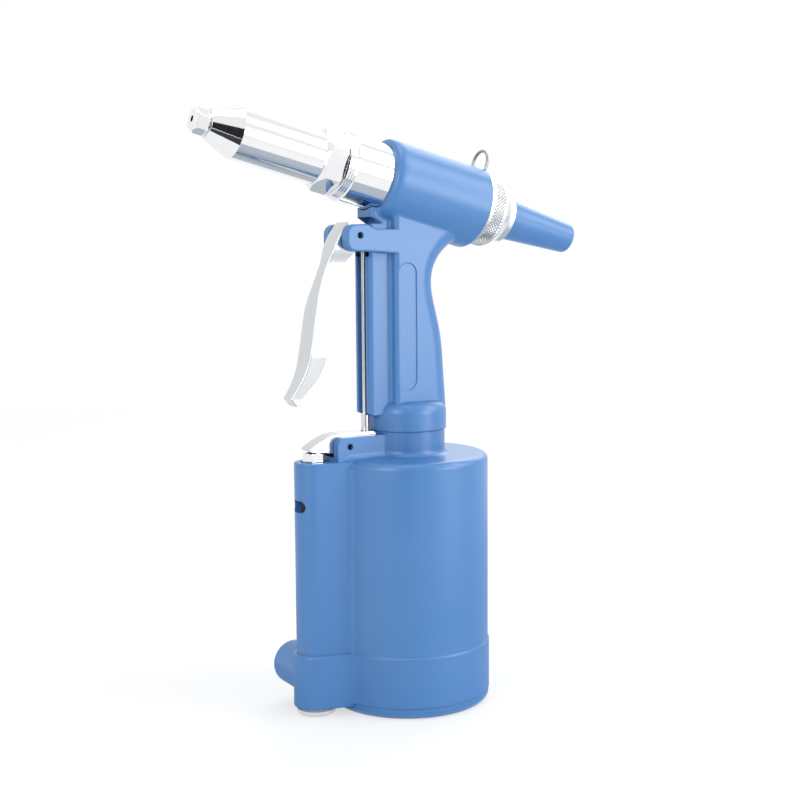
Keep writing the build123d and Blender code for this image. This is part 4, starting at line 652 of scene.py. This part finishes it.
@dataclass
class ValveGear:
    """Button, stem, sleeve, plug, silencer and air inlet of the valve block."""

    palette: Palette
    nodes: dict[str, bpy.types.Object]
    inlet_x_mm: float = 54.5
    inlet_thread: Thread = Thread("inlet_thread", 5.9, -27.8, 12.4, 1.337, 0.55, inwards=True)

    def build(self) -> None:
        """Dress the valve and cut the inlet's thread."""
        self.palette.dress(self.nodes, Finish.CHROME, ("valve_button",))
        self.palette.dress(self.nodes, Finish.UPRIGHT_ALUMINIUM, ("valve_plug",))
        self.palette.dress(self.nodes, Finish.BRIGHT_STEEL, ("valve_stem", "inlet_bush"))
        self.palette.dress(self.nodes, Finish.BRONZE, ("valve_sleeve",))
        self.palette.dress(self.nodes, Finish.SINTERED, ("exhaust_silencer",))
        self.palette.dress(self.nodes, Finish.SPRING, ("valve_spring",))
        self.palette.dress(self.nodes, Finish.RUBBER, ("stem_rings",))
        mesh = self.inlet_thread.mesh()
        low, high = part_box("inlet_bush")
        height = (low.z + high.z) / 2
        place = Matrix.Translation((self.inlet_x_mm * MM, 0, height))
        across = place @ Matrix.Rotation(math.pi / 2, 4, "Z")
        bmesh.ops.transform(mesh, matrix=across, verts=mesh.verts)
        finished_piece(
            self.inlet_thread.name, mesh, self.palette.material(Finish.BRIGHT_STEEL), "frame",
        )


@dataclass
class InnerWorks:
    """What the castings close in: pistons, rods, jaws, springs and seals."""

    palette: Palette
    nodes: dict[str, bpy.types.Object]
    finishes: dict[Finish, tuple[str, ...]] = field(default_factory=lambda: {
        Finish.UPRIGHT_ALUMINIUM: ("air_piston",),
        Finish.BRIGHT_STEEL: (
            "piston_rod", "piston_nut", "piston_washer", "neck_ring_nut", "oil_screw",
        ),
        Finish.BARREL_STEEL: ("draw_rod",),
        Finish.HARDENED: ("jaw_case", "jaw_pusher", "jaw_1", "jaw_2", "jaw_3"),
        Finish.SPRING: ("return_spring", "jaw_spring"),
        Finish.BRONZE: ("gland_bush", "guide_bush", "oil_screw_washer"),
        Finish.RUBBER: (
            "base_cap_ring", "air_piston_seal", "gland_seal", "head_rings", "front_seal",
            "draw_rod_seal", "catcher_ring",
        ),
    })

    def build(self) -> None:
        """Dress the inner pieces."""
        for finish, names in self.finishes.items():
            self.palette.dress(self.nodes, finish, names)
        LOG.info("inner works dressed")


@dataclass(frozen=True)
class SoftBox:
    """One studio lamp with a white diffuser, or with a grid that narrows its beam."""

    name: str
    place: tuple[float, float, float]
    size: tuple[float, float]
    watts: float
    target: tuple[float, float, float] = (0.0, 0.0, 0.16)
    beam_deg: float = 180.0

    def light(self) -> None:
        """Hang the lamp and turn it towards its target."""
        data = bpy.data.lights.new(self.name, "AREA")
        data.shape = "RECTANGLE"
        data.size, data.size_y = self.size
        data.energy = self.watts
        data.spread = math.radians(self.beam_deg)
        lamp = bpy.data.objects.new(self.name, data)
        bpy.context.scene.collection.objects.link(lamp)
        lamp.location = self.place
        aim = Vector(self.target) - Vector(self.place)
        lamp.rotation_mode = "QUATERNION"
        lamp.rotation_quaternion = aim.to_track_quat("-Z", "Y")


@dataclass(frozen=True)
class DarkCard:
    """A dark board beside the tool that gives bright metal something to mirror."""

    name: str
    place: tuple[float, float, float]
    facing: tuple[float, float, float]
    size: tuple[float, float]
    colour: str

    def stand(self) -> None:
        """Stand the board up, unseen by the camera itself."""
        mesh = bmesh.new()
        bmesh.ops.create_grid(mesh, x_segments=1, y_segments=1, size=0.5)
        bmesh.ops.scale(mesh, vec=(self.size[0], self.size[1], 1.0), verts=mesh.verts)
        aim = Vector(self.facing).to_track_quat("Z", "Y").to_matrix().to_4x4()
        bmesh.ops.transform(mesh, matrix=Matrix.Translation(self.place) @ aim, verts=mesh.verts)
        data = bpy.data.meshes.new(self.name)
        mesh.to_mesh(data)
        mesh.free()
        material = bpy.data.materials.new(self.name)
        material.use_nodes = True
        shader = material.node_tree.nodes["Principled BSDF"]
        shader.inputs["Base Color"].default_value = linear(self.colour)
        shader.inputs["Roughness"].default_value = 0.9
        data.materials.append(material)
        board = bpy.data.objects.new(self.name, data)
        bpy.context.scene.collection.objects.link(board)
        board.visible_camera = False
        board.visible_diffuse = False
        board.visible_shadow = False


@dataclass(frozen=True)
class Studio:
    """A white sweep with soft boxes: plain, even light and a pale floor."""

    floor_m: float = 12.0
    world_strength: float = 0.50
    floor_colour: str = "#F4F5F6"
    floor_glow: float = 0.62
    sweep_start_m: float = 0.45
    sweep_end_m: float = 1.6
    lamps: tuple[SoftBox, ...] = (
        SoftBox("key_box", (-1.15, 0.8, 1.15), (0.8, 1.1), 11.0),
        SoftBox("fill_box", (1.35, 0.75, 0.75), (0.5, 1.0), 9.0),
        SoftBox("top_box", (0.1, -0.1, 1.9), (1.2, 1.2), 9.5),
        SoftBox("back_box", (-1.0, -0.8, 1.05), (1.3, 1.1), 10.0),
        SoftBox("side_box", (-0.62, 1.05, 0.34), (0.6, 0.62), 1.25, (0.0, 0.0, 0.28), 80.0),
    )
    cards: tuple[DarkCard, ...] = (
        DarkCard("front_card", (0.44, 0.77, 0.29), (-0.41, -0.91, 0.0), (0.26, 0.58), "#0B0D10"),
        DarkCard("foot_card", (0.37, 0.49, 0.004), (0, 0, 1), (0.24, 0.52), "#0B0D10"),
        DarkCard("low_card", (-0.18, 0.0, 0.003), (0, 0, 1), (0.6, 0.5), "#A6AEB5"),
    )

    def build(self) -> None:
        """Lay the floor, light the world and hang the lamps and cards."""
        self._floor()
        self._world()
        for lamp in self.lamps:
            lamp.light()
        for card in self.cards:
            card.stand()
        LOG.info("studio built")

    def _seen(self, tree: bpy.types.NodeTree) -> bpy.types.NodeSocket:
        """Return a value that is one for rays that see the surface as a picture."""
        path = add_node(tree, "ShaderNodeLightPath")
        glossy = add_node(
            tree, "ShaderNodeMath", {"operation": "MAXIMUM"},
            {0: path.outputs["Is Camera Ray"], 1: path.outputs["Is Glossy Ray"]},
        )
        clear = add_node(
            tree, "ShaderNodeMath", {"operation": "MAXIMUM"},
            {0: glossy.outputs[0], 1: path.outputs["Is Transmission Ray"]},
        )
        return clear.outputs[0]

    def _floor(self) -> None:
        """Lay the pale floor, which keeps the tool's shadow."""
        mesh = bmesh.new()
        bmesh.ops.create_grid(mesh, x_segments=1, y_segments=1, size=self.floor_m / 2)
        data = bpy.data.meshes.new("floor")
        mesh.to_mesh(data)
        mesh.free()
        material = bpy.data.materials.new("white_sweep")
        material.use_nodes = True
        tree = material.node_tree
        tree.nodes.clear()
        matt = add_node(tree, "ShaderNodeBsdfDiffuse", {"Color": linear(self.floor_colour)})
        glow = add_node(tree, "ShaderNodeEmission", {"Color": linear("#FFFFFF"), "Strength": 1.0})
        place = add_node(tree, "ShaderNodeTexCoord")
        reach = add_node(
            tree, "ShaderNodeVectorMath", {"operation": "LENGTH"}, {0: place.outputs["Object"]},
        )
        wash = add_node(
            tree, "ShaderNodeMapRange",
            {"interpolation_type": "SMOOTHSTEP", "From Min": self.sweep_start_m,
             "From Max": self.sweep_end_m, "To Min": self.floor_glow, "To Max": 1.0},
            {"Value": reach.outputs["Value"]},
        )
        share = add_node(
            tree, "ShaderNodeMath", {"operation": "MULTIPLY"},
            {0: self._seen(tree), 1: wash.outputs["Result"]},
        )
        blend = add_node(
            tree, "ShaderNodeMixShader", None,
            {0: share.outputs[0], 1: matt.outputs[0], 2: glow.outputs[0]},
        )
        add_node(tree, "ShaderNodeOutputMaterial", None, {"Surface": blend.outputs[0]})
        data.materials.append(material)
        floor = bpy.data.objects.new("floor", data)
        bpy.context.scene.collection.objects.link(floor)

    def _world(self) -> None:
        """Light the room evenly, with a white backdrop where it is seen."""
        world = bpy.data.worlds.new("white_room")
        bpy.context.scene.world = world
        world.use_nodes = True
        tree = world.node_tree
        tree.nodes.clear()
        strength = add_node(
            tree, "ShaderNodeMapRange", {"To Min": self.world_strength, "To Max": 1.0},
            {"Value": self._seen(tree)},
        )
        white = add_node(
            tree, "ShaderNodeBackground", {"Color": linear("#FFFFFF")},
            {"Strength": strength.outputs["Result"]},
        )
        add_node(tree, "ShaderNodeOutputWorld", None, {"Surface": white.outputs[0]})


@dataclass(frozen=True)
class PhotoCamera:
    """The camera where the photographer stood, solved from the tool's outlines."""

    place_mm: tuple[float, float, float] = (362.54, 610.49, 237.40)
    forward: tuple[float, float, float] = (-0.5033, -0.8567, -0.1128)
    roll_deg: float = -0.4
    focal_px: float = 1380.0
    frame_px: float = 800.0
    sensor_mm: float = 36.0

    def build(self) -> None:
        """Set up the camera and make it the scene's own."""
        data = bpy.data.cameras.new("photo_camera")
        data.sensor_width = self.sensor_mm
        data.lens = self.focal_px / self.frame_px * self.sensor_mm
        data.clip_start = 10 * MM
        data.clip_end = 30.0
        camera = bpy.data.objects.new("photo_camera", data)
        bpy.context.scene.collection.objects.link(camera)
        ahead = Vector(self.forward).normalized()
        right = ahead.cross(Vector((0, 0, 1))).normalized()
        up = right.cross(ahead)
        roll = math.radians(self.roll_deg)
        turned_right = math.cos(roll) * right + math.sin(roll) * up
        turned_up = -math.sin(roll) * right + math.cos(roll) * up
        basis = Matrix((turned_right, turned_up, -ahead)).transposed().to_4x4()
        camera.matrix_world = Matrix.Translation(Vector(self.place_mm) * MM) @ basis
        bpy.context.scene.camera = camera
        LOG.info("camera placed")


def main() -> None:
    """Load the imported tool, dress it and set up the studio and the camera."""
    logging.basicConfig(level=logging.INFO, format="%(name)s: %(message)s")
    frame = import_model()
    nodes = frame["nodes"]
    palette = Palette()
    line = BarrelLine()
    PhotoCamera().build()
    Castings(palette, nodes).build()
    NoseGear(palette, nodes).build()
    RearCap(palette, nodes, line).build()
    TriggerGear(palette, nodes).build()
    ValveGear(palette, nodes).build()
    InnerWorks(palette, nodes).build()
    Studio().build()
    bpy.context.scene.view_settings.view_transform = "Standard"


if __name__ == "__main__":
    main()
